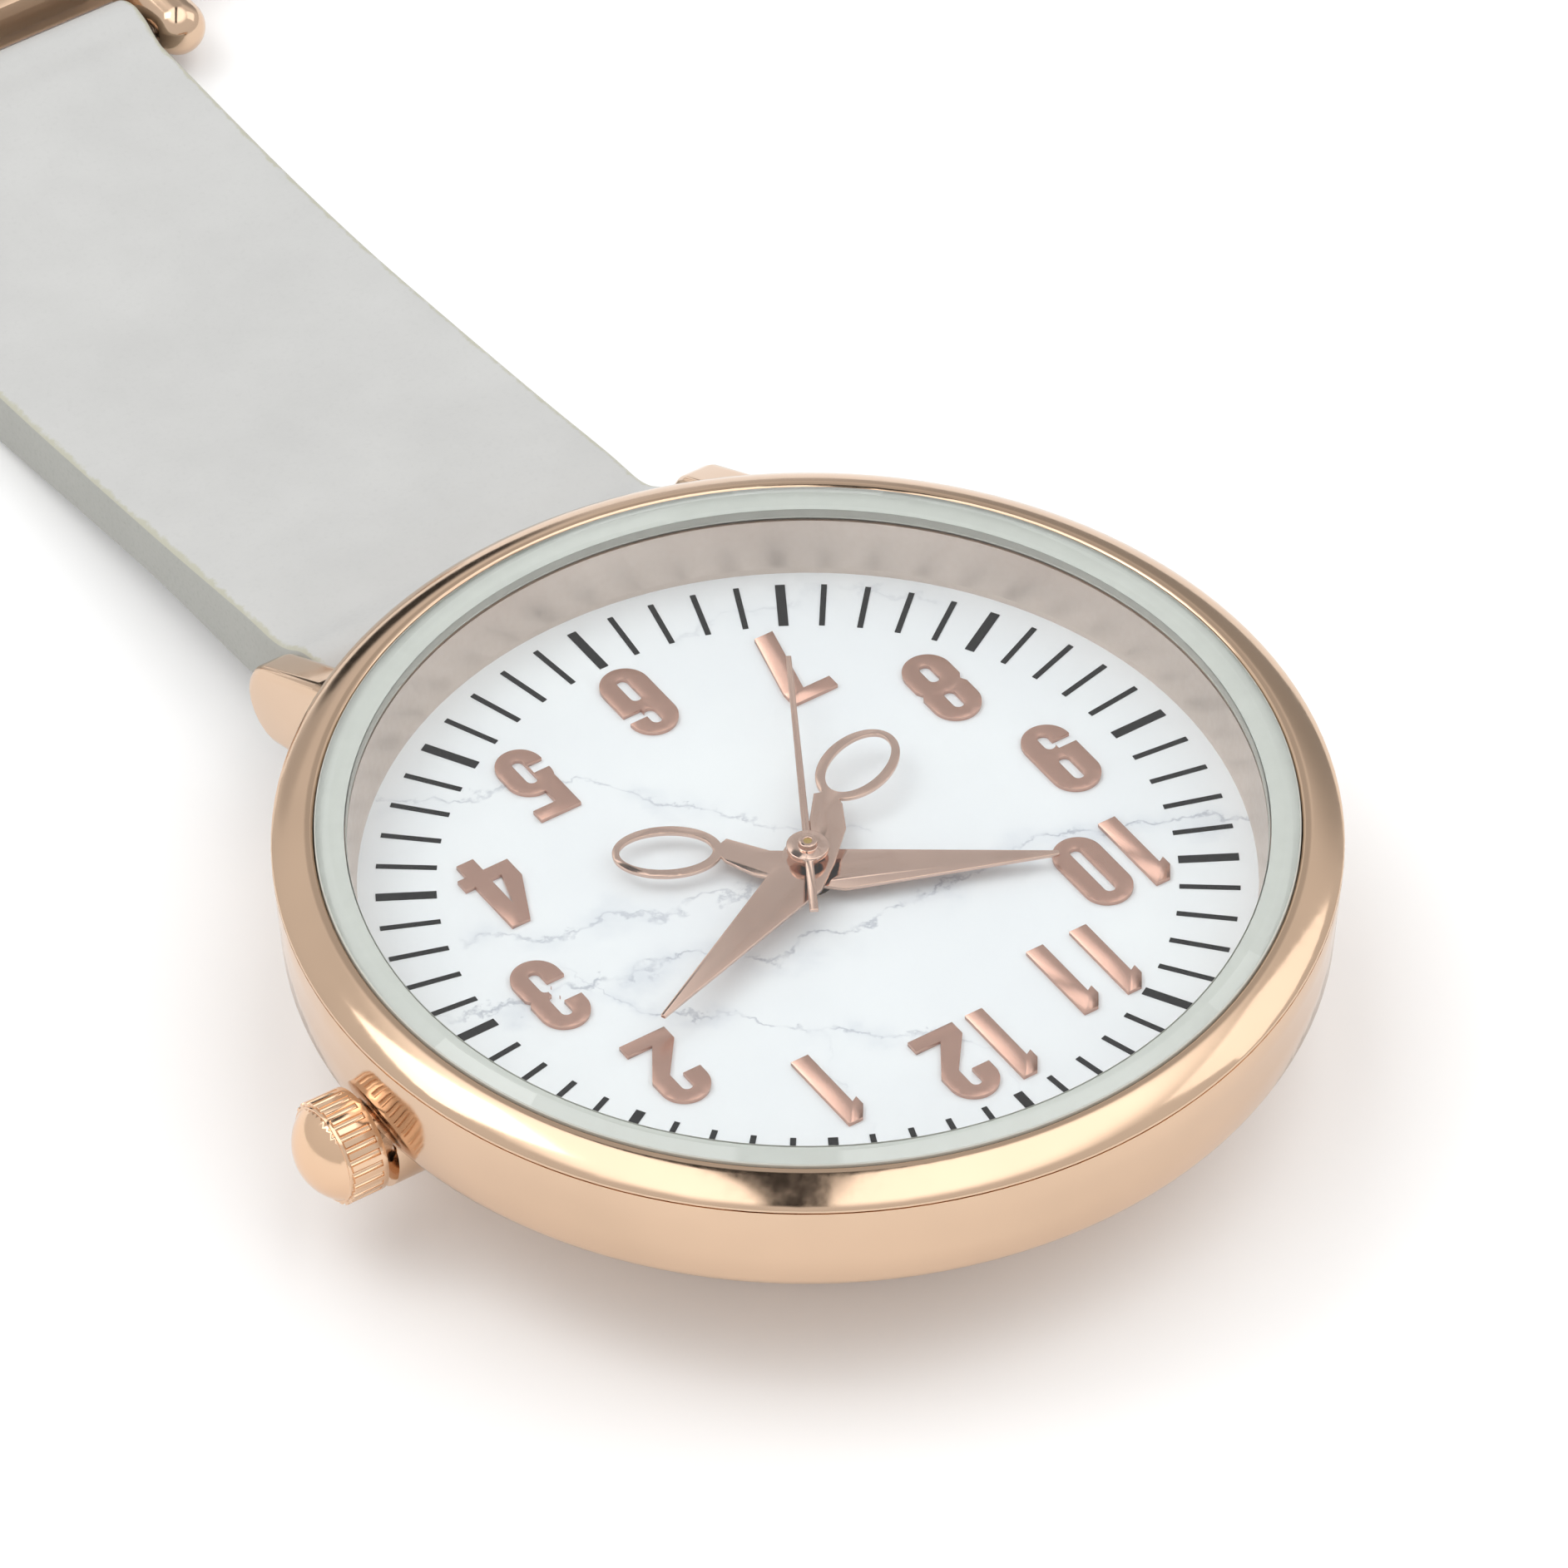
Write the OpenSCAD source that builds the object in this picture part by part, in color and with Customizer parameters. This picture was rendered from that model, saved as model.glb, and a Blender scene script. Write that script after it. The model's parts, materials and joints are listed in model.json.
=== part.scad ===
/* [Case] */
// outer radius at the bezel edge
case_r = 19.0; // [15:0.1:22]
// outer radius at the foot of the side wall
wall_foot_r = 18.75; // [14:0.05:22]
// radius of the flat rest face of the back
back_flat_r = 12.8; // [8:0.1:15]
// height of the foot of the side wall
wall_foot_z = 5.55; // [3:0.05:7]
// height of the joint between case and bezel
bezel_joint_z = 9.2; // [7:0.05:11]
// height of the outer edge of the bezel slope
bezel_edge_z = 9.36; // [7:0.02:11]
// height of the inner edge of the bezel slope
bezel_top_z = 10.03; // [8:0.01:12]
// how far the bezel's sloping face bulges out of a straight slope
bezel_bulge = 0.1; // [0.05:0.01:0.15]
// inner radius of the bezel at the top
bezel_in_r = 17.5; // [14:0.1:21]
// inner radius of the bezel's crystal ledge
ledge_r = 16.4; // [14:0.1:18]
// radius of the snap neck under the bezel
neck_r = 17.9; // [15:0.05:18.5]
// height of the underside of the bezel neck
neck_z = 8.85; // [7:0.05:10]
// bore of the case for dial and inner ring
bore_r = 17.0; // [14:0.05:18]
// radius of the movement cavity
cavity_r = 14.6; // [11:0.1:16]
// height of the cavity step
cavity_z = 3.3; // [2:0.05:5]
// radius of the back opening
back_bore_r = 13.9; // [10:0.05:15]
// height of the joint between case and back
back_joint_z = 2.2; // [1:0.05:4]
// thickness of the case back
back_wall = 1.0; // [0.5:0.1:2]
// wall of the case back's snap rim
snap_wall = 0.9; // [0.5:0.05:1.5]
// outer radius of the back gasket groove
groove_r = 14.35; // [12:0.05:15]
// bottom and top of the back gasket groove
groove_z = [2.35, 2.85]; // [1:0.05:5]
// gap between parts that snap or press together
fit_gap = 0.02; // [0.01:0.01:0.05]

/* [Lugs and strap bars] */
// distance between the inner faces of the lugs
lug_gap = 16.4; // [10:0.1:24]
// thickness of one lug
lug_t = 1.9; // [1:0.1:3]
// centre of the round lug tip along the strap
lug_tip_y = 20.0; // [16:0.1:26]
// height of the round lug tip's centre
lug_tip_z = 5.05; // [2:0.05:8]
// radius of the lug tip
lug_tip_r = 1.6; // [1:0.05:3]
// axis of the case spring bar along the strap
bar_y = 20.3; // [17:0.1:26]
// height of the case spring bar's axis
bar_z = 4.7; // [2:0.05:8]
// outer radius of a spring bar's tube
bar_r = 0.75; // [0.5:0.05:1]
// inner radius of a spring bar's tube
bar_in_r = 0.45; // [0.3:0.05:0.7]
// half length of a spring bar's tube
bar_half = 7.85; // [5:0.05:11]
// radius of a spring bar tip
tip_r = 0.4; // [0.2:0.02:0.6]
// inner end of a tip from the middle
tip_in = 6.4; // [4:0.1:9]
// outer end of a tip from the middle
tip_out = 9.1; // [7:0.1:12]
// half length of the spring inside a bar
spring_half = 5.2; // [3:0.1:7]
// radius of the spring inside a bar
spring_r = 0.36; // [0.2:0.02:0.4]
// radius of the hole for a tip
tip_hole_r = 0.45; // [0.3:0.01:0.7]
// depth of the hole for a tip
tip_hole_depth = 1.15; // [0.5:0.05:1.6]

/* [Crystal and inner ring] */
// outer radius of the crystal
crystal_r = 17.45; // [14:0.05:20]
// radius of the flat top of the crystal
crystal_top_r = 16.9; // [13:0.05:19]
// radius of the lower plug of the crystal
plug_r = 16.35; // [13:0.05:18]
// heights of plug bottom, shoulder, bevel foot and top
crystal_z = [8.95, 9.62, 10.07, 10.28]; // [8:0.01:12]
// outer radius of the crystal gasket
gasket_r = 17.45; // [14:0.05:20]
// heights of the crystal gasket
gasket_z = [9.1, 9.6]; // [8:0.01:11]
// height of the bezel ledge's top
ledge_top_z = 9.1; // [8:0.05:11]
// outer radius of the inner ring
ring_r = 16.95; // [14:0.05:18]
// inner radius of the inner ring at the dial
ring_in_r = 16.0; // [13:0.05:17]
// inner radius of the inner ring at its top
ring_top_r = 16.3; // [13:0.02:17]
// height of the inner ring's top
ring_top_z = 8.8; // [7:0.05:10]

/* [Dial] */
// radius of the dial
dial_r = 16.9; // [13:0.05:18]
// height of the dial seat
dial_z = 6.13; // [4:0.01:8]
// height of the dial's face
face_z = 6.53; // [5:0.01:9]
// radius of the dial's centre hole
dial_hole_r = 1.0; // [0.8:0.05:2]
// outer radius of the minute marks
mark_r = 15.35; // [12:0.05:17]
// length of a minute mark
mark_len = 2.17; // [0.5:0.01:3]
// widths of minute and hour marks
mark_w = [0.21, 0.36]; // [0.1:0.01:1]
// thickness of the marks
mark_t = 0.03; // [0.01:0.01:0.1]
// radius of the ring of numerals
numeral_ring_r = 10.9; // [8:0.05:14]
// height of a numeral
numeral_h = 3.67; // [2:0.01:5]
// width of a round numeral
numeral_w = 1.88; // [1:0.01:3]
// stroke of a numeral
numeral_s = 0.72; // [0.3:0.01:1.2]
// thickness of a numeral
numeral_t = 0.16; // [0.05:0.01:0.4]
// pitch between two figures of one hour
figure_pitch = 1.85; // [1:0.01:3]
// radius of a dial foot
foot_r = 0.35; // [0.2:0.05:0.6]
// distance of a dial foot from the centre
foot_ring_r = 9.6; // [6:0.1:13]
// length of a dial foot
foot_len = 0.7; // [0.3:0.05:1]
// directions of the two dial feet
foot_angles = [100, 280]; // [0:5:355]

/* [Hands] */
// length of the hour hand from its axis
hour_len = 8.95; // [5:0.05:12]
// length of the minute hand from its axis
minute_len = 9.6; // [6:0.05:13]
// length of the seconds hand from its axis
second_len = 9.95; // [6:0.05:14]
// length of the seconds hand's tail
second_tail = 3.27; // [1:0.01:5]
// widths of the seconds hand at tail and tip
second_w = [0.32, 0.2]; // [0.1:0.01:0.6]
// thickness of a hand
hand_t = 0.14; // [0.05:0.01:0.3]
// heights of the undersides of hour, minute and seconds hands
hand_z = [7.06, 7.5, 7.93]; // [6:0.01:9]
// blade edges at the pivot end of a scissor hand
blade_root = [1.25, 0.68, 1.35]; // [0.2:0.01:3]
// half width of a blade's tip
blade_tip_w = 0.09; // [0.02:0.01:0.3]
// centre of the finger loop behind the pivot and to the side
loop_at = [4.93, 0.98]; // [0.5:0.01:8]
// outer half sizes of the finger loop
loop_out = [1.97, 1.3]; // [0.5:0.01:4]
// inner half sizes of the finger loop
loop_in = [1.66, 0.93]; // [0.3:0.01:4]
// radius of the seconds hand's flat boss
second_boss_r = 0.77; // [0.3:0.01:1.5]
// radii of the seconds hand's tube above and below the boss
second_tube_r = [0.34, 0.3]; // [0.2:0.02:0.6]
// heights of the boss, the tube's top and the tube's underside
second_boss_z = [0.2, 0.42, -0.2]; // [-0.5:0.02:0.6]
// radii of the hubs of hour and minute hands
hub_r = [1.05, 0.9]; // [0.6:0.05:1.5]
// radii of the collars under hour and minute hands
collar_r = [1.0, 0.7]; // [0.5:0.05:1.4]
// depths of the collars under hour and minute hands
collar_t = [0.16, 0.1]; // [0.05:0.01:0.3]
// clock angles of hour, minute and seconds hands
hand_angle = [300, 65.7, 209.8]; // [0:0.1:360]

/* [Crown] */
// height of the stem's axis
stem_z = 4.6; // [3:0.05:6]
// radius of the crown
crown_r = 1.96; // [1:0.02:4]
// inner and outer ends of the crown's knurled part
crown_x = [18.95, 20.45]; // [15:0.05:24]
// height of the crown's dome
dome_h = 0.95; // [0.2:0.05:2]
// radius of the crown's dome at its foot
dome_r = 1.75; // [0.8:0.05:3]
// number of grooves in the knurl
knurl_n = 26; // [12:1:48]
// radius of a knurl groove
knurl_r = 0.13; // [0.05:0.01:0.3]
// step between the knurl and the foot of the dome
crown_step = 0.12; // [0.05:0.01:0.3]
// radius of the hollow inside the crown
crown_hollow_r = 1.25; // [0.8:0.05:2]
// depth of the hollow inside the crown
crown_hollow = 1.15; // [0.5:0.05:2]
// radius of the crown boss on the case
boss_r = 2.0; // [1:0.05:3]
// outer end of the crown boss
boss_x = 18.55; // [15:0.05:20]
// outer radius of the crown tube
tube_r = 0.92; // [0.6:0.02:1.5]
// inner radius of the crown tube
tube_in_r = 0.5; // [0.3:0.02:1]
// inner and outer ends of the crown tube
tube_x = [15.2, 19.75]; // [12:0.05:22]
// inner and outer radius of the crown gasket
seal_r = [0.95, 1.22]; // [0.5:0.01:2]
// inner and outer ends of the crown gasket
seal_x = [19.1, 19.55]; // [15:0.05:22]
// radius of the stem
stem_r = 0.45; // [0.3:0.01:0.8]
// radius of the stem's thin inner part
stem_thin_r = 0.25; // [0.15:0.01:0.5]
// radius of the stem in its groove
stem_groove_r = 0.28; // [0.15:0.01:0.5]
// inner tip, step, groove ends and outer end of the stem
stem_x = [4.3, 8.4, 8.8, 9.2, 20.6]; // [3:0.05:24]

/* [Movement] */
// radius of the main plate
plate_r = 10.2; // [8:0.05:13]
// underside and top of the main plate
plate_z = [4.1, 5.35]; // [3:0.05:7]
// inner radius of the main plate's rim
rim_r = 9.0; // [7:0.05:12]
// radius of the bridge around each of its screws
bridge_eye_r = 0.85; // [0.6:0.05:1.2]
// underside and top of the train bridge
bridge_z = [2.5, 2.8]; // [1.5:0.05:4]
// radius of an arbor
arbor_r = 0.15; // [0.1:0.01:0.3]
// running clearance of arbors in their holes
run_gap = 0.05; // [0.02:0.01:0.1]
// height where upper pivots end
pivot_top_z = 4.5; // [4:0.05:5]
// thickness of a wheel
wheel_t = 0.18; // [0.1:0.01:0.4]
// gear module between intermediate pinion and seconds wheel
m_seconds = 0.13; // [0.05:0.005:0.3]
// gear module between rotor pinion and intermediate wheel
m_rotor = 0.1; // [0.05:0.005:0.3]
// gear module between seconds pinion and third wheel
m_third = 0.09; // [0.05:0.005:0.3]
// gear module between cannon pinion and minute wheel
m_motion = 0.1; // [0.05:0.005:0.3]
// gear module between minute pinion and hour wheel
m_hour = 0.096; // [0.05:0.001:0.3]
// teeth of rotor pinion, intermediate wheel and pinion, seconds wheel
teeth_a = [8, 48, 8, 40]; // [6:1:80]
// teeth of seconds pinion, third wheel and pinion, centre wheel
teeth_b = [8, 60, 8, 64]; // [6:1:80]
// teeth of cannon pinion, minute wheel, minute pinion, hour wheel, setting wheel
teeth_c = [12, 36, 10, 40, 20]; // [6:1:80]
// direction of the intermediate wheel from the centre
rotor_dir = -70; // [-180:1:180]
// undersides of intermediate, seconds, third and centre wheels
wheel_z = [2.95, 3.2, 3.5, 3.8]; // [2:0.01:5]
// undersides of motion wheels and hour wheel
motion_z = [5.45, 5.72]; // [5:0.01:6.5]
// outer radii of centre tube, cannon tube and hour tube
tube_out = [0.32, 0.45, 0.75]; // [0.2:0.01:1.2]
// battery radius and height
battery_size = [3.4, 2.1]; // [2:0.05:6]
// battery centre
battery_at = [4.6, 4.4]; // [-8:0.1:8]
// underside of the battery
battery_z = 2.35; // [1.5:0.05:4]
// outer and inner radius of the movement holder
holder_r = [14.5, 10.3]; // [8:0.05:16]
// underside and top of the movement holder
holder_z = [3.35, 6.08]; // [2:0.01:7]
// bridge screw positions
bridge_posts = [[-6.9, 2.6], [5.4, -2.6], [-3.4, -3.9]]; // [-9:0.1:9]
// circuit board screw positions
board_posts = [[-7.3, 4.9], [-0.7, 8.2]]; // [-9:0.1:9]
// radius of bridge posts, screw heads and screw shanks
screw_r = [0.6, 0.5, 0.25]; // [0.1:0.05:1]
// height of a screw head
head_t = 0.2; // [0.1:0.05:0.5]
// underside and top of the circuit board
board_z = [2.75, 3.0]; // [2:0.05:4]
// underside and top of stator and coil core
stator_z = [3.5, 3.9]; // [3:0.05:5]
// radius and half length of the coil
coil_size = [0.9, 3.5]; // [0.4:0.05:5]
// distance of the coil from the centre
coil_y = -7.9; // [-10:0.1:-5]
// radius of the rotor magnet
magnet_r = 0.85; // [0.4:0.05:1.5]
// half thickness and half length of the coil core
core_half = [0.3, 5.2]; // [0.1:0.05:7]
// width of the stator ring around its hole and the gap around the magnet
stator_ring = [0.5, 0.2]; // [0.1:0.05:1]
// radius of the fixed posts that carry wheels and levers
post_r = 0.2; // [0.1:0.02:0.4]
// tops of the posts of minute wheel and setting wheel
post_top_z = [6.0, 5.7]; // [5:0.05:6.5]
// end play of arbors and tubes
end_play = 0.05; // [0.02:0.01:0.1]
// how far a pinion reaches past the wheel it drives
pinion_over = 0.04; // [0.02:0.01:0.1]
// thickness of minute wheel and setting wheel
motion_t = 0.15; // [0.1:0.01:0.3]
// tops of the centre tube and of the minute pinion
motion_top_z = [7.2, 5.95]; // [5:0.05:7.5]
// pivot of the setting lever
lever_at = [-9.0, 1.9]; // [-10:0.1:10]
// underside and top of the setting lever
lever_z = [3.84, 4.04]; // [3:0.02:5]
// half width of the setting lever
lever_half = 0.3; // [0.1:0.05:0.6]
// radius of the setting lever's nose in the stem groove
nose_r = 0.13; // [0.05:0.01:0.2]
// pivot of the yoke
yoke_at = [-6.9, -2.2]; // [-10:0.1:10]
// underside and top of the yoke
yoke_z = [4.5, 4.7]; // [4:0.05:5.5]
// half width of the yoke's arm and radius of its eye
yoke_half = [0.08, 0.38]; // [0.05:0.01:0.6]
// inner faces of the sliding pinion's two toothed rims
slide_x = [-7.4, -6.78]; // [-9:0.02:-5]
// thickness of a toothed rim
slide_t = 0.38; // [0.2:0.02:0.6]
// teeth of a toothed rim
slide_teeth = 12; // [8:1:20]
// gear module of a toothed rim
m_slide = 0.11; // [0.05:0.01:0.2]
// screw of the battery clamp
clamp_at = [9.2, -0.6]; // [-10:0.1:10]
// underside and top of the battery clamp
clamp_z = [2.1, 2.3]; // [1.6:0.05:3]
// top ends of bridge and board screws, and of the clamp screw
screw_top_z = [3.9, 4.7]; // [3:0.05:5]
// top of the pockets under the main plate
pocket_z = 5.15; // [4.5:0.05:5.3]
// radius of the quartz crystal's can
can_r = 0.5; // [0.3:0.05:1]

/* [Strap] */
// width of the strap
strap_w = 16.0; // [8:0.5:24]
// outer radius of the strap's loops
strap_loop_r = 1.55; // [1.2:0.05:3]
// distance between the two spring bars along the strap
strap_len = 37.7; // [20:0.1:60]
// height of the brooch spring bar's axis
brooch_bar_z = 1.6; // [1:0.05:4]
// clearance of the strap loop around a bar
loop_gap = 0.05; // [0.02:0.01:0.1]
// thickness of the folded strap
strap_t = 2.42; // [1.5:0.02:4]

/* [Brooch] */
// radius of a brooch arm
arm_r = 1.1; // [0.6:0.05:2]
// distance of an arm's axis from the middle
arm_x = 9.4; // [7:0.1:13]
// reach of an arm past the spring bar
arm_tip = 0.5; // [0.1:0.1:3]
// length of the brooch bar
brooch_len = 28; // [18:0.5:45]
// width of the brooch bar
brooch_w = 5.2; // [3:0.1:9]
// start of the brooch bar from the spring bar
brooch_start = 2.5; // [1.8:0.1:6]
// underside and top of the brooch bar
brooch_z = [1.35, 3.35]; // [0.8:0.05:5]
// radius of the pin wire
pin_r = 0.35; // [0.2:0.05:0.7]
// height of the pin's axis
pin_z = 0.68; // [0.4:0.02:2]
// hinge and tip of the pin along the bar
pin_x = [-11.4, 11.2]; // [-20:0.1:20]
// radius of the pin's eye
eye_r = 0.6; // [0.4:0.05:1]
// radius of the pin's rivet
rivet_r = 0.25; // [0.15:0.05:0.5]
// inner and outer radius of the safety catch
catch_r = [0.44, 0.62]; // [0.3:0.02:1]
// ends of the safety catch along the bar
catch_x = [9.9, 10.8]; // [7:0.1:18]
// thickness of the hinge and catch cheeks under the bar
cheek_t = 0.4; // [0.2:0.05:0.8]
// length of the pin's tapered point
point_len = 1.5; // [0.5:0.1:4]
// radius of the pin's tip
point_r = 0.08; // [0.03:0.01:0.2]

/* [Hidden] */
$fn = 96;
eps = 0.02;
gold = [0.86, 0.68, 0.55];
rose = [0.72, 0.52, 0.45];
brass = [0.8, 0.68, 0.38];
steel = [0.75, 0.76, 0.78];
leather = [0.81, 0.82, 0.81];
rubber = [0.2, 0.2, 0.2];
clear = [0.85, 0.93, 0.95, 0.35];
seal_grey = [0.78, 0.82, 0.8];
white = [0.93, 0.94, 0.95];
ink = [0.1, 0.1, 0.11];
plastic = [0.85, 0.85, 0.83];
board_green = [0.1, 0.35, 0.2];
copper = [0.72, 0.36, 0.16];
quarter = 90;
half_turn = 180;
hours = 12;
minutes = 60;
full_turn = 360;
tooth_tip = 0.95;
tooth_root = 1.15;
numeral_list = [[1, 2], [1], [2], [3], [4], [5], [6], [7], [8], [9], [1, 0], [1, 1]];
cd_seconds = m_seconds * (teeth_a[2] + teeth_a[3]) / 2;
cd_rotor = m_rotor * (teeth_a[0] + teeth_a[1]) / 2;
cd_third = m_third * (teeth_b[0] + teeth_b[1]) / 2;
m_centre_fit = 2 * cd_third / (teeth_b[2] + teeth_b[3]);
cd_minute = m_motion * (teeth_c[0] + teeth_c[1]) / 2;
cd_setting = m_motion * (teeth_c[1] + teeth_c[4]) / 2;
inter_at = cd_seconds * [cos(rotor_dir), sin(rotor_dir)];
rotor_at = (cd_seconds + cd_rotor) * [cos(rotor_dir), sin(rotor_dir)];
third_at = [-cd_third, 0];
minute_at = [-cd_minute, 0];
setting_at = [-cd_minute - cd_setting, 0];
brooch_bar_y = bar_y + strap_len;
brooch_mid_y = brooch_bar_y + brooch_start + brooch_w / 2;
lug_x = lug_gap / 2;
arm_in_x = arm_x - arm_r;

// a rod along X from x0 to x1 at [y, z]
module rod_x(r, x0, x1, at, fn = $fn) {
  translate([x0, at[0], at[1]]) rotate([0, quarter, 0]) cylinder(r = r, h = x1 - x0, $fn = fn);
}

// a rod along Y from y0 to y1 at [x, z]
module rod_y(r, y0, y1, at) {
  translate([at[0], y0, at[1]]) rotate([-quarter, 0, 0]) cylinder(r = r, h = y1 - y0);
}

// a rod along Z from z0 to z1 at [x, y]
module rod_z(r, z0, z1, at = [0, 0]) {
  translate([at[0], at[1], z0]) cylinder(r = r, h = z1 - z0);
}

// a flat ring between two heights
module ring(r_out, r_in, z0, z1) {
  difference() {
    rod_z(r_out, z0, z1);
    rod_z(r_in, z0 - eps, z1 + eps);
  }
}

// a box between two corners
module block(low, high) {
  translate(low) cube(high - low);
}

// flat gear outline with straight-sided teeth; one tooth points along the phase angle
module gear_outline(teeth, m, phase) {
  pitch = full_turn / teeth;
  tip = m * (teeth / 2 + tooth_tip);
  root = m * (teeth / 2 - tooth_root);
  polygon([
    for (i = [0 : teeth - 1])
      for (k = [[root, -0.26], [tip, -0.12], [tip, 0.12], [root, 0.26]])
        k[0] * [cos(phase + (i + k[1]) * pitch), sin(phase + (i + k[1]) * pitch)]
  ]);
}

// gear between two heights
module gear(teeth, m, phase, z0, z1, at = [0, 0]) {
  translate([at[0], at[1], z0]) linear_extrude(z1 - z0) gear_outline(teeth, m, phase);
}

// oval from a circle stretched by a smooth polygon
module oval(half) {
  step = full_turn / $fn;
  polygon([for (i = [0 : $fn - 1]) [half[0] * cos(i * step), half[1] * sin(i * step)]]);
}

// slot shape with round ends, upright
module slot(w, h) {
  square([w, h - w], center = true);
  for (s = [-1, 1]) translate([0, s * (h - w) / 2]) circle(w / 2);
}

module mid_case() {
  corner = [wall_foot_r - 0.1, wall_foot_z - 0.08];
  seat_r = neck_r + fit_gap;
  wall_cut = 0.5;
  color(gold) difference() {
    union() {
      rotate_extrude() polygon([
        [back_bore_r, back_joint_z], [corner[0] - corner[1] + back_joint_z, back_joint_z],
        corner, [wall_foot_r, wall_foot_z + 0.15], [case_r, bezel_joint_z],
        [seat_r, bezel_joint_z], [seat_r, neck_z], [bore_r, neck_z], [bore_r, dial_z],
        [cavity_r, dial_z], [cavity_r, cavity_z], [back_bore_r, cavity_z], [back_bore_r, groove_z[1]],
        [groove_r, groove_z[1]], [groove_r, groove_z[0]], [back_bore_r, groove_z[0]]
      ]);
      difference() {
        rod_x(boss_r, -boss_x, -cavity_r, [0, stem_z]);
        rod_z(cavity_r + wall_cut, 0, bezel_joint_z);
        rod_z(bore_r + wall_cut, dial_z, bezel_joint_z);
      }
      for (s = [-1, 1]) lug(s);
    }
    rod_x(tube_r, -case_r - 1, -cavity_r + 1, [0, stem_z]);
    for (s = [-1, 1])
      rod_x(tip_hole_r, min(s * (lug_x - eps), s * (lug_x + tip_hole_depth)),
            max(s * (lug_x - eps), s * (lug_x + tip_hole_depth)), [bar_y, bar_z]);
  }
}

// rounded side plate that carries one end of the case spring bar
module lug(s) {
  round_r = 0.5;
  tip_turn = lug_tip_r - round_r;
  root = [[15.9, 5.2], [15.9, 8.3], [16.9, 7.95]];
  corners = concat(
    root,
    [for (a = [-120 : 20 : 80]) [lug_tip_y + tip_turn * cos(a), lug_tip_z + tip_turn * sin(a)]]
  );
  hull() for (c = corners, x = [lug_x + round_r, lug_x + lug_t - round_r])
    translate([s * x, c[0], c[1]]) sphere(round_r, $fn = 32);
}

module bezel() {
  edge = [case_r, bezel_edge_z];
  crest = [bezel_in_r + 0.12, bezel_top_z];
  foot_z = bezel_joint_z + 0.03;
  chord = crest - edge;
  across = norm(chord);
  arc_r = (across * across / 4 + bezel_bulge * bezel_bulge) / (2 * bezel_bulge);
  outward = [chord[1], -chord[0]] / across;
  centre = (edge + crest) / 2 - outward * (arc_r - bezel_bulge);
  color(gold) rotate_extrude() intersection() {
    polygon([
      [ledge_r, neck_z], [neck_r, neck_z], [neck_r, foot_z], [case_r, foot_z],
      edge, edge + outward, crest + outward, crest, [bezel_in_r, bezel_top_z - 0.06],
      [bezel_in_r, ledge_top_z], [ledge_r, ledge_top_z]
    ]);
    translate(centre) circle(arc_r);
  }
}

module case_back() {
  top_z = back_joint_z - 0.05;
  rim_z = cavity_z - 0.1;
  snap_r = back_bore_r - fit_gap;
  inner_r = back_bore_r - snap_wall;
  corner = 0.5;
  color(gold) rotate_extrude() polygon([
    [0, 0], [back_flat_r, 0], [back_flat_r + top_z, top_z], [snap_r, top_z], [snap_r, rim_z],
    [inner_r, rim_z], [inner_r, back_wall + corner], [inner_r - corner, back_wall], [0, back_wall]
  ]);
}

module case_back_gasket() {
  color(rubber)
    ring(groove_r - fit_gap, back_bore_r, groove_z[0] + fit_gap, groove_z[1] - fit_gap);
}

module crystal() {
  color(clear) rotate_extrude() polygon([
    [0, crystal_z[0]], [plug_r, crystal_z[0]], [plug_r, crystal_z[1]], [crystal_r, crystal_z[1]],
    [crystal_r, crystal_z[2]], [crystal_top_r, crystal_z[3]], [0, crystal_z[3]]
  ]);
}

module crystal_gasket() {
  color(seal_grey) ring(gasket_r, plug_r + 0.05, gasket_z[0], gasket_z[1]);
}

module inner_ring() {
  lip = 0.25;
  color(rose) rotate_extrude() polygon([
    [ring_in_r, face_z], [ring_r, face_z], [ring_r, ring_top_z], [ring_top_r, ring_top_z],
    [ring_in_r, face_z + lip]
  ]);
}

module dial() {
  color(white) union() {
    ring(dial_r, dial_hole_r, dial_z, face_z);
    for (a = foot_angles)
      rod_z(foot_r, dial_z - foot_len, dial_z + eps, foot_ring_r * [cos(a), sin(a)]);
  }
}

module minute_track() {
  color(ink) for (i = [0 : minutes - 1]) {
    w = i % (minutes / hours) == 0 ? mark_w[1] : mark_w[0];
    rotate([0, 0, i * full_turn / minutes])
      block([mark_r - mark_len, -w / 2, face_z], [mark_r, w / 2, face_z + mark_t]);
  }
}

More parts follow.
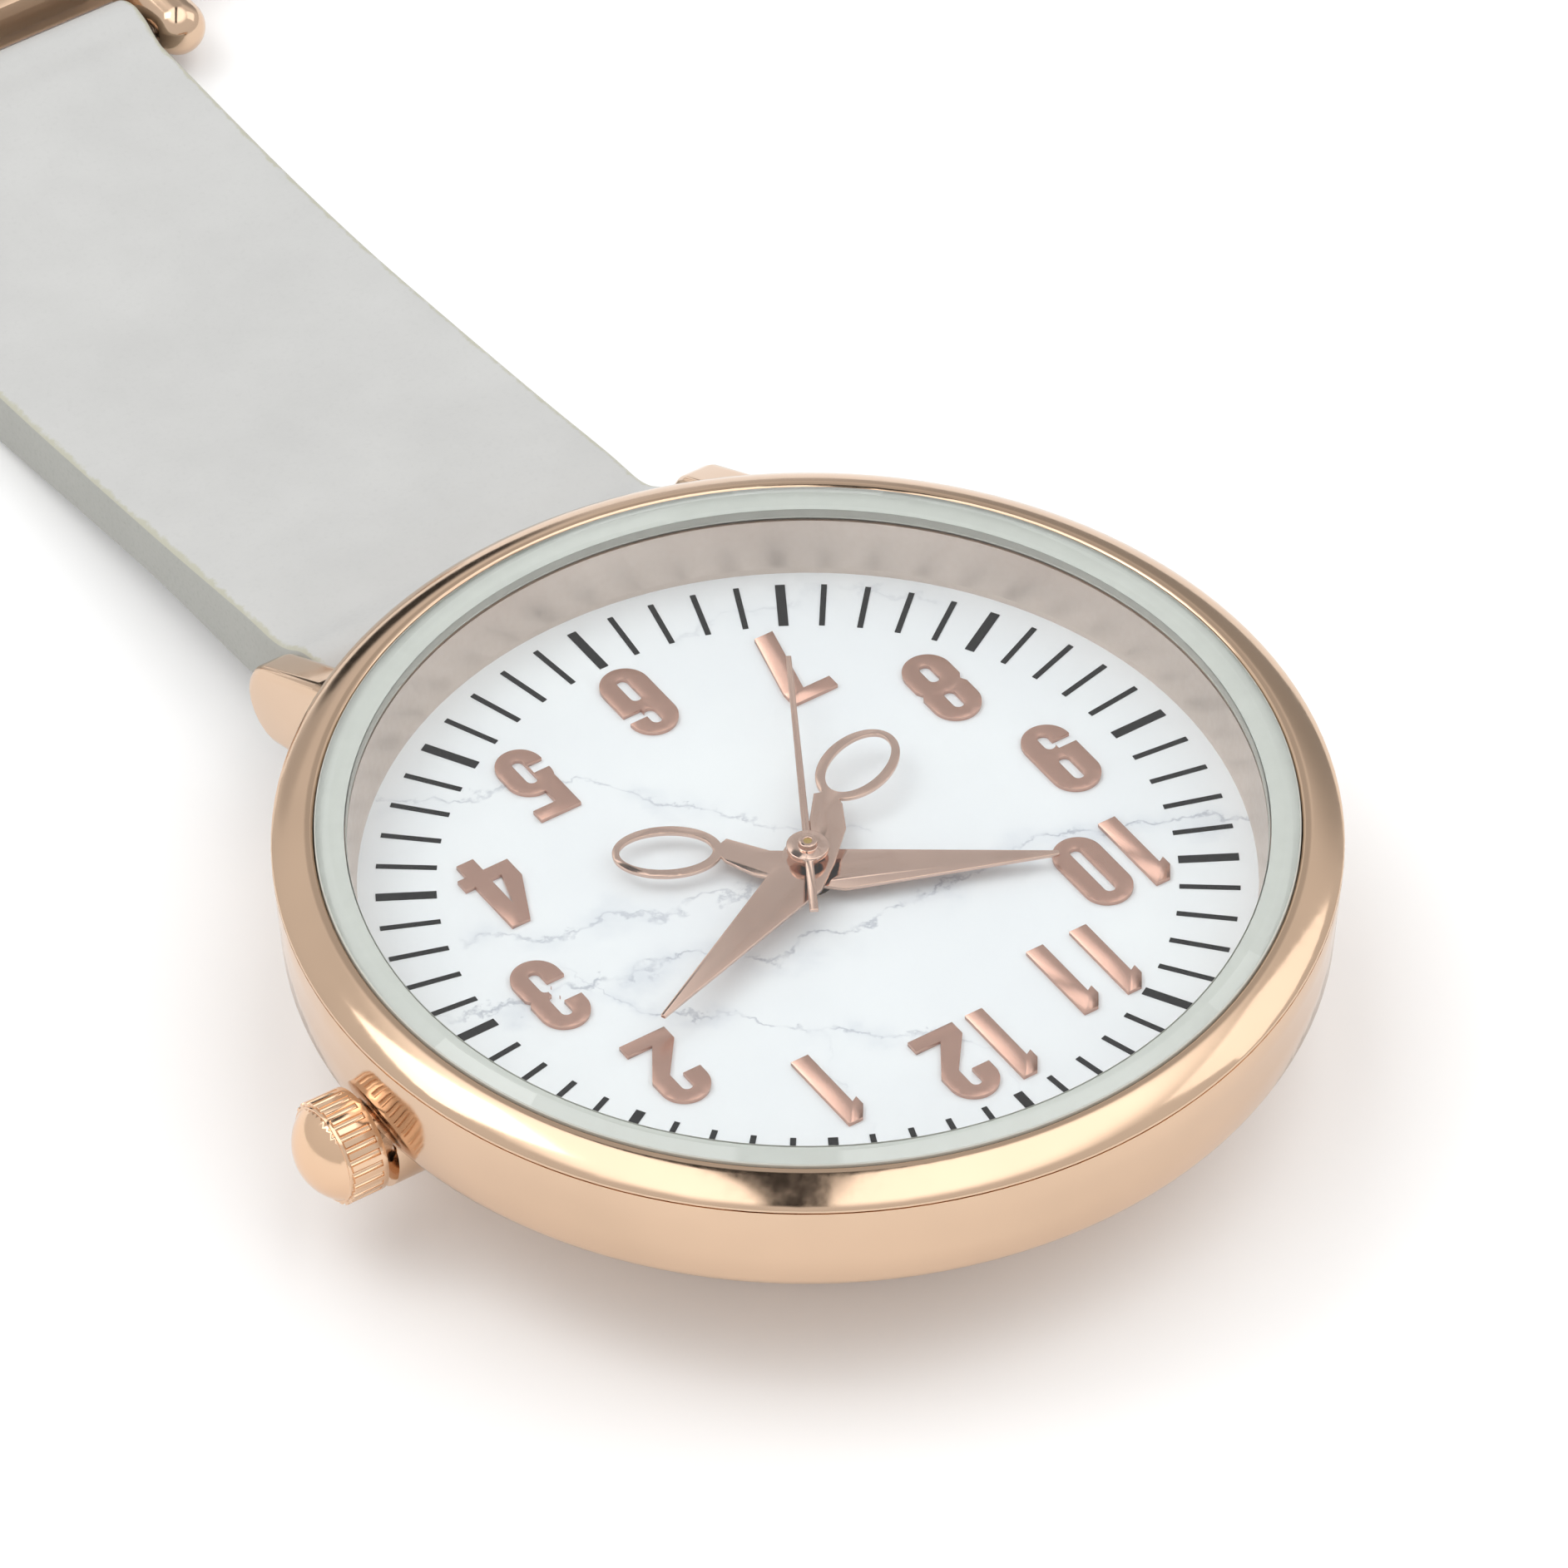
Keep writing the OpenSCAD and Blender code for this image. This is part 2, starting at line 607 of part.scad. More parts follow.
// outline of one figure, upright, centred on its box
module figure(n) {
  w = numeral_w;
  h = numeral_h;
  s = numeral_s;
  hw = w / 2;
  hh = h / 2;
  hs = s / 2;
  gap = w - 2 * s;
  bar = 0.56;
  if (n == 0) difference() {
    slot(w, h);
    slot(gap, h - 2 * bar);
  }
  if (n == 1) polygon([
    [hs, hh], [-0.22, hh], [-0.6, hh - 0.55], [-0.6, hh - 1.0], [-hs, hh - 0.86], [-hs, -hh],
    [hs, -hh]
  ]);
  if (n == 2) union() {
    difference() {
      translate([0, hh - hw]) circle(hw);
      translate([0, hh - hw - 0.15]) slot(gap, 2 * hw - 2 * bar + 0.3);
      translate([-hw - eps, -hh]) square([w + 2 * eps, h - hw]);
    }
    translate([-hw, hh - hw - 0.42]) square([s, 0.44]);
    polygon([
      [hw, hh - hw + eps], [hw, 0.28], [-0.08, -hh + bar], [hw, -hh + bar], [hw, -hh], [-hw, -hh],
      [-hw, -hh + bar + 0.1], [hw - s, 0.3], [hw - s, hh - hw + eps]
    ]);
  }
  if (n == 3) difference() {
    slot(w, h);
    for (k = [-1, 1]) translate([0, k * 0.68]) slot(gap, 1.15);
    translate([-hw - eps, -0.56]) square([s + eps, 1.12]);
    translate([-hw - eps, -0.26]) square([s + 0.25, 0.52]);
    polygon([[hw + eps, 0.2], [hw - 0.14, 0], [hw + eps, -0.2]]);
  }
  if (n == 4) difference() {
    union() {
      polygon([[-0.05, hh], [0.7, hh], [0.7, -hh], [0, -hh], [0, -0.62], [-1.02, -0.62], [-1.02, -0.2]]);
      translate([-1.02, -1.17]) square([2.1, 0.55 + eps]);
    }
    polygon([[0.04, 0.85], [0.04, -0.62], [-0.42, -0.62]]);
  }
  if (n == 5) union() {
    translate([-0.82, hh - bar]) square([1.68, bar]);
    translate([-0.82, 0.1]) square([s, hh - 0.1]);
    difference() {
      translate([0, -hh + 1.22]) slot(w - 0.08, 2.44);
      translate([0, -hh + 1.22]) slot(gap, 1.36);
      translate([-hw, -hh + 0.95]) square([s - 0.04, 0.5]);
    }
  }
  if (n == 6 || n == 9) rotate([0, 0, n == 6 ? 0 : half_turn]) difference() {
    slot(w, h);
    translate([0, -hh + 1.18]) slot(gap, 1.3);
    translate([0, hh - 0.9]) slot(gap, 0.84);
    translate([hw - s - eps, 0.42]) square([s + 0.1, 0.45]);
  }
  if (n == 7) union() {
    translate([-hw, hh - bar]) square([w, bar]);
    polygon([[hw, hh - bar + eps], [hw, hh - 0.7], [0.22, -hh], [-0.56, -hh], [0.18, hh - bar + eps]]);
  }
  if (n == 8) difference() {
    slot(w, h);
    for (k = [-1, 1]) translate([0, k * 0.79]) slot(gap, 0.98);
    for (k = [-1, 1]) polygon([[k * (hw + eps), 0.26], [k * (hw - 0.14), 0], [k * (hw + eps), -0.26]]);
  }
}

module hour_numerals() {
  color(rose) for (i = [0 : hours - 1]) {
    a = i * full_turn / hours;
    figures = numeral_list[i];
    translate([-numeral_ring_r * sin(a), -numeral_ring_r * cos(a), face_z]) rotate([0, 0, half_turn])
      for (k = [0 : len(figures) - 1])
        translate([(k - (len(figures) - 1) / 2) * figure_pitch, 0, 0])
          linear_extrude(numeral_t) figure(figures[k]);
  }
}

// turn a hand drawn along +X to its clock angle
module at_clock(angle, z) {
  translate([0, 0, z]) rotate([0, 0, -quarter - angle]) children();
}

// scissor-shaped hand along +X with its finger loop behind the axis
module scissor(len, side, hub, hole_r) {
  shank = [
    [-0.2, -1.0], [-1.9, -0.42], [-2.9, 0.35], [-3.3, 1.0], [-2.8, 1.5], [-1.3, 0.78], [-0.6, 0.72]
  ];
  loop_shift = 0.05;
  linear_extrude(hand_t) difference() {
    scale([1, side]) union() {
      polygon(concat(
        [[len, blade_tip_w], [len, -blade_tip_w], [blade_root[0], -blade_root[2]]],
        shank,
        [[blade_root[0], blade_root[1]]]
      ));
      translate([-loop_at[0], loop_at[1]]) oval(loop_out);
      circle(hub);
    }
    scale([1, side]) translate([-loop_at[0] - loop_shift, loop_at[1]]) oval(loop_in);
    circle(hole_r);
  }
}

module hour_hand() {
  color(rose) at_clock(hand_angle[0], hand_z[0]) union() {
    scissor(hour_len, 1, hub_r[0], tube_out[2]);
    ring(collar_r[0], tube_out[2], -collar_t[0], hand_t);
  }
}

module minute_hand() {
  color(rose) at_clock(hand_angle[1], hand_z[1]) union() {
    scissor(minute_len, -1, hub_r[1], tube_out[1]);
    ring(collar_r[1], tube_out[1], -collar_t[1], hand_t);
  }
}

module second_hand() {
  color(rose) at_clock(hand_angle[2], hand_z[2]) difference() {
    union() {
      linear_extrude(hand_t) polygon([
        [second_len, second_w[1] / 2], [second_len, -second_w[1] / 2],
        [-second_tail, -second_w[0] / 2], [-second_tail, second_w[0] / 2]
      ]);
      rod_z(second_boss_r, 0, second_boss_z[0]);
      rod_z(second_tube_r[0], 0, second_boss_z[1]);
      rod_z(second_tube_r[1], second_boss_z[2], eps);
    }
    rod_z(arbor_r, second_boss_z[2] - eps, second_boss_z[1] + eps);
  }
}

module movement_holder() {
  slot_half = 1.1;
  slot_top_z = 5.6;
  color(plastic) difference() {
    ring(holder_r[0], holder_r[1], holder_z[0], holder_z[1]);
    block([-holder_r[0] - 1, -slot_half, holder_z[0] - 1], [-holder_r[1] + 1, slot_half, slot_top_z]);
  }
}

module main_plate() {
  under_z = plate_z[0] - eps;
  socket_z = 4.0;
  works_pocket = [[-9.8, -2.6, under_z], [-5.6, 1.3, pocket_z]];
  wheel_pocket = [[-7.6, -0.95, pocket_z - 0.05], [-5.75, 0.95, plate_z[1] + eps]];
  stem_pocket = [[-plate_r - 1, -0.55, under_z], [-9.7, 0.55, pocket_z]];
  coil_pocket = [coil_size[1] + 0.6, 1.0, 4.8];
  color(brass) difference() {
    union() {
      rod_z(plate_r, plate_z[0], plate_z[1]);
      ring(plate_r, rim_r, plate_z[1] - eps, dial_z);
      for (p = bridge_posts) rod_z(screw_r[0], bridge_z[1], plate_z[0] + eps, p);
      for (p = board_posts) rod_z(screw_r[0], board_z[1], plate_z[0] + eps, p);
      rod_z(post_r, plate_z[1] - eps, post_top_z[0], minute_at);
      rod_z(post_r, plate_z[1] - eps, post_top_z[1], setting_at);
      rod_z(post_r, lever_z[0] - 0.04, plate_z[0] + eps, lever_at);
    }
    rod_z(tube_out[0] + run_gap, under_z, plate_z[1] + eps);
    for (p = [inter_at, rotor_at, third_at])
      rod_z(arbor_r + run_gap, under_z, pivot_top_z + 0.1, p);
    rod_z(battery_size[0] + 0.1, under_z, battery_z + battery_size[1] + 0.1, battery_at);
    difference() {
      block(works_pocket[0], works_pocket[1]);
      rod_z(post_r, yoke_z[0] - 0.15, pocket_z + 0.05, yoke_at);
    }
    block(wheel_pocket[0], wheel_pocket[1]);
    block(stem_pocket[0], stem_pocket[1]);
    rod_x(stem_thin_r + run_gap, works_pocket[1][0] - 0.1, 0.2 - stem_x[0], [0, stem_z]);
    block([-coil_pocket[0], coil_y - coil_pocket[1], under_z],
          [coil_pocket[0], coil_y + coil_pocket[1], coil_pocket[2]]);
    for (a = foot_angles)
      rod_z(foot_r + 0.03, plate_z[1] - 0.05, dial_z + eps, foot_ring_r * [cos(a), sin(a)]);
    for (p = bridge_posts) rod_z(screw_r[2], bridge_z[1] - eps, socket_z, p);
    for (p = board_posts) rod_z(screw_r[2], board_z[1] - eps, socket_z, p);
    rod_z(screw_r[2], under_z, screw_top_z[1] + 0.1, clamp_at);
  }
}

module train_bridge() {
  outline = [
    [-7.5, 2.2], [-7.0, 3.3], [-6.2, 3.3], [0.6, 1.2], [5.9, -1.9], [6.1, -3.1], [3.1, -6.4],
    [1.4, -6.7], [-3.7, -4.7], [-4.3, -3.9]
  ];
  color(brass) difference() {
    union() {
      translate([0, 0, bridge_z[0]]) linear_extrude(bridge_z[1] - bridge_z[0]) polygon(outline);
      for (p = bridge_posts) rod_z(bridge_eye_r, bridge_z[0], bridge_z[1], p);
    }
    for (p = [[0, 0], inter_at, rotor_at, third_at])
      rod_z(arbor_r + run_gap, bridge_z[0] - eps, bridge_z[1] + eps, p);
    for (p = bridge_posts) rod_z(screw_r[2], bridge_z[0] - eps, bridge_z[1] + eps, p);
  }
}

module battery() {
  cap_z = battery_z + 0.4;
  cap_r = battery_size[0] - 0.5;
  color(steel) union() {
    rod_z(battery_size[0], cap_z, battery_z + battery_size[1], battery_at);
    rod_z(cap_r, battery_z, cap_z, battery_at);
  }
}

module battery_clamp() {
  arm = [[3.6, 4.6], [4.8, 5.8], [9.9, -0.2], [8.6, -1.2]];
  eye = 0.8;
  foot = 0.5;
  color(steel) difference() {
    union() {
      translate([0, 0, clamp_z[0]]) linear_extrude(clamp_z[1] - clamp_z[0]) union() {
        polygon(arm);
        translate(clamp_at) circle(eye);
      }
      block([clamp_at[0] - foot, clamp_at[1] - foot, clamp_z[0] + 0.1],
            [clamp_at[0] + foot, clamp_at[1] + foot, plate_z[0]]);
    }
    rod_z(screw_r[2], clamp_z[0] - 0.1, plate_z[0] + eps, clamp_at);
  }
}

module circuit_board() {
  outline = [
    [-8.4, 4.2], [-7.2, 3.9], [-1.2, 3.4], [0.3, 3.7], [0.3, 9.2], [-2.5, 9.1], [-6.3, 7.2]
  ];
  color(board_green) difference() {
    translate([0, 0, board_z[0]]) linear_extrude(board_z[1] - board_z[0]) polygon(outline);
    for (p = board_posts) rod_z(screw_r[2], board_z[0] - eps, board_z[1] + eps, p);
  }
}

module quartz_can() {
  ends = [-5.4, -1.6];
  can_y = 7.2;
  color(steel) rod_x(can_r, ends[0], ends[1], [can_y, board_z[1] + can_r]);
}

module ic_chip() {
  corner = [-4.6, 4.4];
  chip = [1.7, 1.7, 0.5];
  color(ink) translate([corner[0], corner[1], board_z[1]]) cube(chip);
}

module coil() {
  color(copper) difference() {
    rod_x(coil_size[0], -coil_size[1], coil_size[1], [coil_y, (stator_z[0] + stator_z[1]) / 2]);
    block([-core_half[1], coil_y - core_half[0], stator_z[0]],
          [core_half[1], coil_y + core_half[0], stator_z[1]]);
  }
}

module coil_core() {
  color(steel) block([-core_half[1], coil_y - core_half[0], stator_z[0]],
                     [core_half[1], coil_y + core_half[0], stator_z[1]]);
}

module stator() {
  yoke_y = [-6.8, -4.9];
  leg = 1.0;
  color(steel) difference() {
    union() {
      block([-core_half[1], yoke_y[0], stator_z[0]], [core_half[1], yoke_y[1], stator_z[1]]);
      for (x = [-core_half[1], core_half[1] - leg])
        block([x, coil_y + core_half[0], stator_z[0]], [x + leg, yoke_y[0] + 0.1, stator_z[1]]);
      rod_z(magnet_r + stator_ring[0], stator_z[0], stator_z[1], rotor_at);
    }
    rod_z(magnet_r + stator_ring[1], stator_z[0] - eps, stator_z[1] + eps, rotor_at);
  }
}

// arbor between the bridge and the main plate
module arbor(at) {
  rod_z(arbor_r, bridge_z[0] + end_play, pivot_top_z, at);
}

// phase that points the gap between two teeth along a direction
function gap_phase(teeth, dir) = dir + full_turn / teeth / 2;

module rotor() {
  pinion_z = [wheel_z[0] - 0.05, wheel_z[0] + 0.25];
  color(steel) union() {
    arbor(rotor_at);
    gear(teeth_a[0], m_rotor, rotor_dir + half_turn, pinion_z[0], pinion_z[1], rotor_at);
    rod_z(magnet_r, stator_z[0] - 0.05, stator_z[1] + 0.05, rotor_at);
  }
}

module intermediate_wheel() {
  wheel_top = wheel_z[0] + wheel_t;
  pinion_top = wheel_z[1] + wheel_t + pinion_over;
  color(brass) union() {
    arbor(inter_at);
    gear(teeth_a[1], m_rotor, gap_phase(teeth_a[1], rotor_dir), wheel_z[0], wheel_top, inter_at);
    gear(teeth_a[2], m_seconds, rotor_dir + half_turn, wheel_top, pinion_top, inter_at);
  }
}

module seconds_wheel() {
  wheel_top = wheel_z[1] + wheel_t;
  pinion_top = wheel_z[2] + wheel_t + fit_gap;
  color(brass) union() {
    rod_z(arbor_r, bridge_z[0] + end_play, hand_z[2] + second_boss_z[1] - 0.04);
    gear(teeth_a[3], m_seconds, gap_phase(teeth_a[3], rotor_dir), wheel_z[1], wheel_top);
    gear(teeth_b[0], m_third, 0, wheel_top, pinion_top);
  }
}

module third_wheel() {
  wheel_top = wheel_z[2] + wheel_t;
  pinion_top = wheel_z[3] + wheel_t + pinion_over;
  color(brass) union() {
    arbor(third_at);
    gear(teeth_b[1], m_third, gap_phase(teeth_b[1], 0), wheel_z[2], wheel_top, third_at);
    gear(teeth_b[2], m_centre_fit, 0, wheel_top, pinion_top, third_at);
  }
}

module centre_wheel() {
  wheel_top = wheel_z[3] + wheel_t;
  color(brass) difference() {
    union() {
      gear(teeth_b[3], m_centre_fit, gap_phase(teeth_b[3], half_turn), wheel_z[3], wheel_top);
      rod_z(tube_out[0], wheel_z[3], motion_top_z[0]);
    }
    rod_z(arbor_r + run_gap, wheel_z[3] - eps, motion_top_z[0] + eps);
  }
}

module cannon_pinion() {
  foot_z = plate_z[1] + end_play;
  cannon_top = hand_z[1] + hand_t;
  color(brass) difference() {
    union() {
      gear(teeth_c[0], m_motion, half_turn, foot_z, motion_z[0] + 0.2);
      rod_z(tube_out[1], foot_z, cannon_top);
    }
    rod_z(tube_out[0], foot_z - eps, motion_top_z[0]);
    rod_z(arbor_r + run_gap, motion_top_z[0] - 0.1, cannon_top + eps);
  }
}

module minute_wheel() {
  wheel_top = motion_z[0] + motion_t;
  color(brass) difference() {
    union() {
      gear(teeth_c[1], m_motion, gap_phase(teeth_c[1], 0), motion_z[0], wheel_top, minute_at);
      gear(teeth_c[2], m_hour, 0, wheel_top, motion_top_z[1], minute_at);
    }
    rod_z(post_r + run_gap, motion_z[0] - eps, motion_top_z[1] + eps, minute_at);
  }
}

module hour_wheel() {
  wheel_top = motion_z[1] + 0.2;
  hour_top = hand_z[0] + hand_t;
  color(brass) difference() {
    union() {
      gear(teeth_c[3], m_hour, gap_phase(teeth_c[3], half_turn), motion_z[1], wheel_top);
      rod_z(tube_out[2], motion_z[1], hour_top);
    }
    rod_z(tube_out[1] + run_gap, motion_z[1] - eps, hour_top + eps);
  }
}

module setting_wheel() {
  wheel_top = motion_z[0] + motion_t;
  color(steel) difference() {
    gear(teeth_c[4], m_motion, gap_phase(teeth_c[4], 0), motion_z[0], wheel_top, setting_at);
    rod_z(post_r + run_gap, motion_z[0] - eps, wheel_top + eps, setting_at);
  }
}

module setting_lever() {
  nose_at = [lever_at[0], 0];
  nose_top_z = 4.27;
  reach = [0.3, 0.4];
  color(steel) difference() {
    union() {
      block([lever_at[0] - lever_half, -reach[0], lever_z[0]],
            [lever_at[0] + lever_half, lever_at[1] + reach[1], lever_z[1]]);
      rod_z(nose_r, lever_z[1] - eps, nose_top_z, nose_at);
    }
    rod_z(post_r + run_gap, lever_z[0] - eps, lever_z[1] + eps, lever_at);
  }
}

module yoke() {
  fork_y = -0.52;
  color(steel) difference() {
    union() {
      block([yoke_at[0] - yoke_half[0], yoke_at[1], yoke_z[0]],
            [yoke_at[0] + yoke_half[0], fork_y, yoke_z[1]]);
      rod_z(yoke_half[1], yoke_z[0], yoke_z[1], yoke_at);
    }
    rod_z(post_r + run_gap, yoke_z[0] - eps, yoke_z[1] + eps, yoke_at);
  }
}

module sliding_pinion() {
  neck_r = 0.46;
  neck_x = [slide_x[0] + 0.3, slide_x[1] + 0.08];
  color(steel) difference() {
    union() {
      for (x = slide_x)
        translate([x, 0, stem_z]) rotate([0, quarter, 0]) linear_extrude(slide_t)
          gear_outline(slide_teeth, m_slide, 0);
      rod_x(neck_r, neck_x[0], neck_x[1], [0, stem_z]);
    }
    rod_x(stem_thin_r + run_gap, slide_x[0] - eps, slide_x[1] + slide_t + eps, [0, stem_z]);
  }
}

module movement_screws() {
  color(steel) {
    for (p = bridge_posts) screw(p, bridge_z[0], screw_top_z[0]);
    for (p = board_posts) screw(p, board_z[0], screw_top_z[0]);
    screw(clamp_at, clamp_z[0], screw_top_z[1]);
  }
}

// slotted screw hanging under a face
module screw(at, face, top) {
  slot_half = 0.06;
  slot_depth = 0.08;
  low = face - head_t;
  difference() {
    union() {
      rod_z(screw_r[1], low, face, at);
      rod_z(screw_r[2], low + head_t / 2, top, at);
    }
    block([at[0] - 1, at[1] - slot_half, low - eps], [at[0] + 1, at[1] + slot_half, low + slot_depth]);
  }
}

module stem() {
  color(steel) union() {
    rod_x(stem_thin_r, -stem_x[1] - eps, -stem_x[0], [0, stem_z]);
    rod_x(stem_r, -stem_x[2], -stem_x[1], [0, stem_z]);
    rod_x(stem_groove_r, -stem_x[3] - eps, -stem_x[2] + eps, [0, stem_z]);
    rod_x(stem_r, -stem_x[4], -stem_x[3], [0, stem_z]);
  }
}

module crown() {
  dome_ball_r = (dome_r * dome_r + dome_h * dome_h) / (2 * dome_h);
  knurl_x = [-crown_x[1] + crown_step, -crown_x[0] - 0.2];
  rim = 0.14;
  color(rose) difference() {
    union() {
      rod_x(crown_r, knurl_x[0], -crown_x[0], [0, stem_z]);
      rod_x(crown_r - rim, -crown_x[1], -crown_x[1] + rim, [0, stem_z]);
      intersection() {
        translate([-crown_x[1] - dome_h + dome_ball_r, 0, stem_z]) sphere(dome_ball_r);
        rod_x(dome_r, -crown_x[1] - dome_h - 1, -crown_x[1] + 0.1, [0, stem_z]);
      }
    }
    rod_x(crown_hollow_r, -crown_x[0] - crown_hollow, -crown_x[0] + 1, [0, stem_z]);
    rod_x(stem_r, -stem_x[4], -crown_x[0], [0, stem_z]);
    for (i = [0 : knurl_n - 1]) {
      a = i * full_turn / knurl_n;
      rod_x(knurl_r, knurl_x[0], knurl_x[1],
            [crown_r * cos(a), stem_z + crown_r * sin(a)], $fn / 4);
    }
  }
}

module crown_gasket() {
  color(rubber) difference() {
    rod_x(seal_r[1], -seal_x[1], -seal_x[0], [0, stem_z]);
    rod_x(seal_r[0], -seal_x[1] - eps, -seal_x[0] + eps, [0, stem_z]);
  }
}

module crown_tube() {
  color(steel) difference() {
    rod_x(tube_r, -tube_x[1], -tube_x[0], [0, stem_z]);
    rod_x(tube_in_r, -tube_x[1] - eps, -tube_x[0] + eps, [0, stem_z]);
  }
}

module strap() {
  rest_z = brooch_bar_z - strap_loop_r;
  flat_top = rest_z + strap_t;
  top_line = [
    [21.0, 6.05], [22.1, 5.4], [23.2, 5.05], [25.2, 4.85], [30, 4.15], [36, 3.4], [42, 2.76],
    [48, flat_top], [56.4, flat_top], [57.2, 2.9]
  ];
  under_line = [
    [48, rest_z], [42.2, 0.25], [36.7, 1.0], [31, 1.72], [26.5, 1.95], [24.3, 2.1], [22.6, 2.45]
  ];
  color(leather) difference() {
    union() {
      rod_x(strap_loop_r, -strap_w / 2, strap_w / 2, [bar_y, bar_z]);
      rod_x(strap_loop_r, -strap_w / 2, strap_w / 2, [brooch_bar_y, brooch_bar_z]);
      translate([-strap_w / 2, 0, 0]) rotate([quarter, 0, quarter]) linear_extrude(strap_w)
        polygon(concat(
          [[bar_y, bar_z + strap_loop_r]],
          top_line,
          [[brooch_bar_y, brooch_bar_z + strap_loop_r], [brooch_bar_y, rest_z]],
          under_line,
          [[bar_y, bar_z - strap_loop_r]]
        ));
    }
    for (at = [[bar_y, bar_z], [brooch_bar_y, brooch_bar_z]])
      rod_x(bar_r + loop_gap, -strap_w, strap_w, at);
  }
}

// tube of a spring bar
module bar_tube(at) {
  color(steel) difference() {
    rod_x(bar_r, -bar_half, bar_half, at);
    rod_x(bar_in_r, -bar_half - eps, bar_half + eps, at);
  }
}

// one sprung tip of a spring bar
module bar_tip(s, at) {
  color(steel) rod_x(tip_r, min(s * tip_in, s * tip_out), max(s * tip_in, s * tip_out), at);
}

module case_spring_bar() {
  bar_tube([bar_y, bar_z]);
}

module case_bar_tip_left() {
  bar_tip(-1, [bar_y, bar_z]);
}

module case_bar_tip_right() {
  bar_tip(1, [bar_y, bar_z]);
}

module case_bar_spring() {
  color(steel) rod_x(spring_r, -spring_half, spring_half, [bar_y, bar_z]);
}

module brooch_frame() {
  arm_z = brooch_bar_z + 0.1;
  arm_y = brooch_bar_y - arm_tip;
  hinge_half = 0.6;
  hinge_low = 0.08;
  catch_half = 0.7;
  catch_low = 0.25;
  mouth = 0.42;
  play = 0.05;
  color(gold) difference() {
    union() {
      for (s = [-1, 1]) {
        rod_y(arm_r, arm_y, brooch_bar_y + brooch_start + arm_r, [s * arm_x, arm_z]);
        translate([s * arm_x, arm_y, arm_z]) sphere(arm_r);
      }
      translate([0, brooch_mid_y, brooch_z[0]]) linear_extrude(brooch_z[1] - brooch_z[0])
        rotate([0, 0, quarter]) slot(brooch_w, brooch_len);
      for (y = [brooch_mid_y - hinge_half - cheek_t, brooch_mid_y + hinge_half])
        block([pin_x[0] - hinge_half, y, hinge_low],
              [pin_x[0] + hinge_half, y + cheek_t, brooch_z[0] + eps]);
      for (x = [catch_x[0] - play - cheek_t, catch_x[1] + play])
        difference() {
          block([x, brooch_mid_y - catch_half, catch_low],
                [x + cheek_t, brooch_mid_y + catch_half, brooch_z[0] + eps]);
          block([x - eps, brooch_mid_y - mouth, 0],
                [x + cheek_t + eps, brooch_mid_y + mouth, pin_z + mouth]);
        }
    }
    for (s = [-1, 1])
      rod_x(tip_hole_r, min(s * (arm_in_x - eps), s * (arm_in_x + tip_hole_depth)),
            max(s * (arm_in_x - eps), s * (arm_in_x + tip_hole_depth)), [brooch_bar_y, brooch_bar_z]);
    rod_y(rivet_r, brooch_mid_y - 1 - eps, brooch_mid_y + 1 + eps, [pin_x[0], pin_z]);
    rod_x(catch_r[1] + play, catch_x[0] - play, catch_x[1] + play, [brooch_mid_y, pin_z]);
  }
}

module brooch_spring_bar() {
  bar_tube([brooch_bar_y, brooch_bar_z]);
}

module brooch_bar_tip_left() {
  bar_tip(-1, [brooch_bar_y, brooch_bar_z]);
}

module brooch_bar_tip_right() {
  bar_tip(1, [brooch_bar_y, brooch_bar_z]);
}

module brooch_bar_spring() {
  color(steel) rod_x(spring_r, -spring_half, spring_half, [brooch_bar_y, brooch_bar_z]);
}

module brooch_pin() {
  point_x = pin_x[1] - point_len;
  eye_half = 0.55;
  color(steel) difference() {
    union() {
      rod_y(eye_r - fit_gap, brooch_mid_y - eye_half, brooch_mid_y + eye_half, [pin_x[0], pin_z]);
      rod_x(pin_r, pin_x[0] + eye_r / 2, point_x, [brooch_mid_y, pin_z]);
      translate([point_x, brooch_mid_y, pin_z]) rotate([0, quarter, 0])
        cylinder(r1 = pin_r, r2 = point_r, h = point_len);
    }
    rod_y(rivet_r + run_gap, brooch_mid_y - 1, brooch_mid_y + 1, [pin_x[0], pin_z]);
  }
}

module pin_rivet() {
  color(steel) rod_y(rivet_r, brooch_mid_y - 1, brooch_mid_y + 1, [pin_x[0], pin_z]);
}

module pin_catch() {
  color(gold) difference() {
    rod_x(catch_r[1], catch_x[0], catch_x[1], [brooch_mid_y, pin_z]);
    rod_x(catch_r[0], catch_x[0] - eps, catch_x[1] + eps, [brooch_mid_y, pin_z]);
    block([catch_x[0] - eps, brooch_mid_y, pin_z - catch_r[0]],
          [catch_x[1] + eps, brooch_mid_y + 1, pin_z + catch_r[0]]);
  }
}

mid_case();
bezel();
case_back();
case_back_gasket();
crystal();
crystal_gasket();
inner_ring();
dial();
minute_track();
hour_numerals();
hour_hand();
minute_hand();
second_hand();
movement_holder();
main_plate();
train_bridge();
battery();
battery_clamp();
circuit_board();
quartz_can();
ic_chip();
coil();
coil_core();
stator();
rotor();
intermediate_wheel();
seconds_wheel();
third_wheel();
centre_wheel();
cannon_pinion();
minute_wheel();
hour_wheel();
setting_wheel();
setting_lever();
yoke();
sliding_pinion();
movement_screws();
stem();
crown();
crown_gasket();
crown_tube();
strap();
case_spring_bar();
case_bar_tip_left();
case_bar_tip_right();
case_bar_spring();
brooch_frame();
brooch_spring_bar();
brooch_bar_tip_left();
brooch_bar_tip_right();
brooch_bar_spring();
brooch_pin();
pin_rivet();
pin_catch();
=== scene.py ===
import json
import math

import bmesh
import bpy
from mathutils import Matrix, Vector


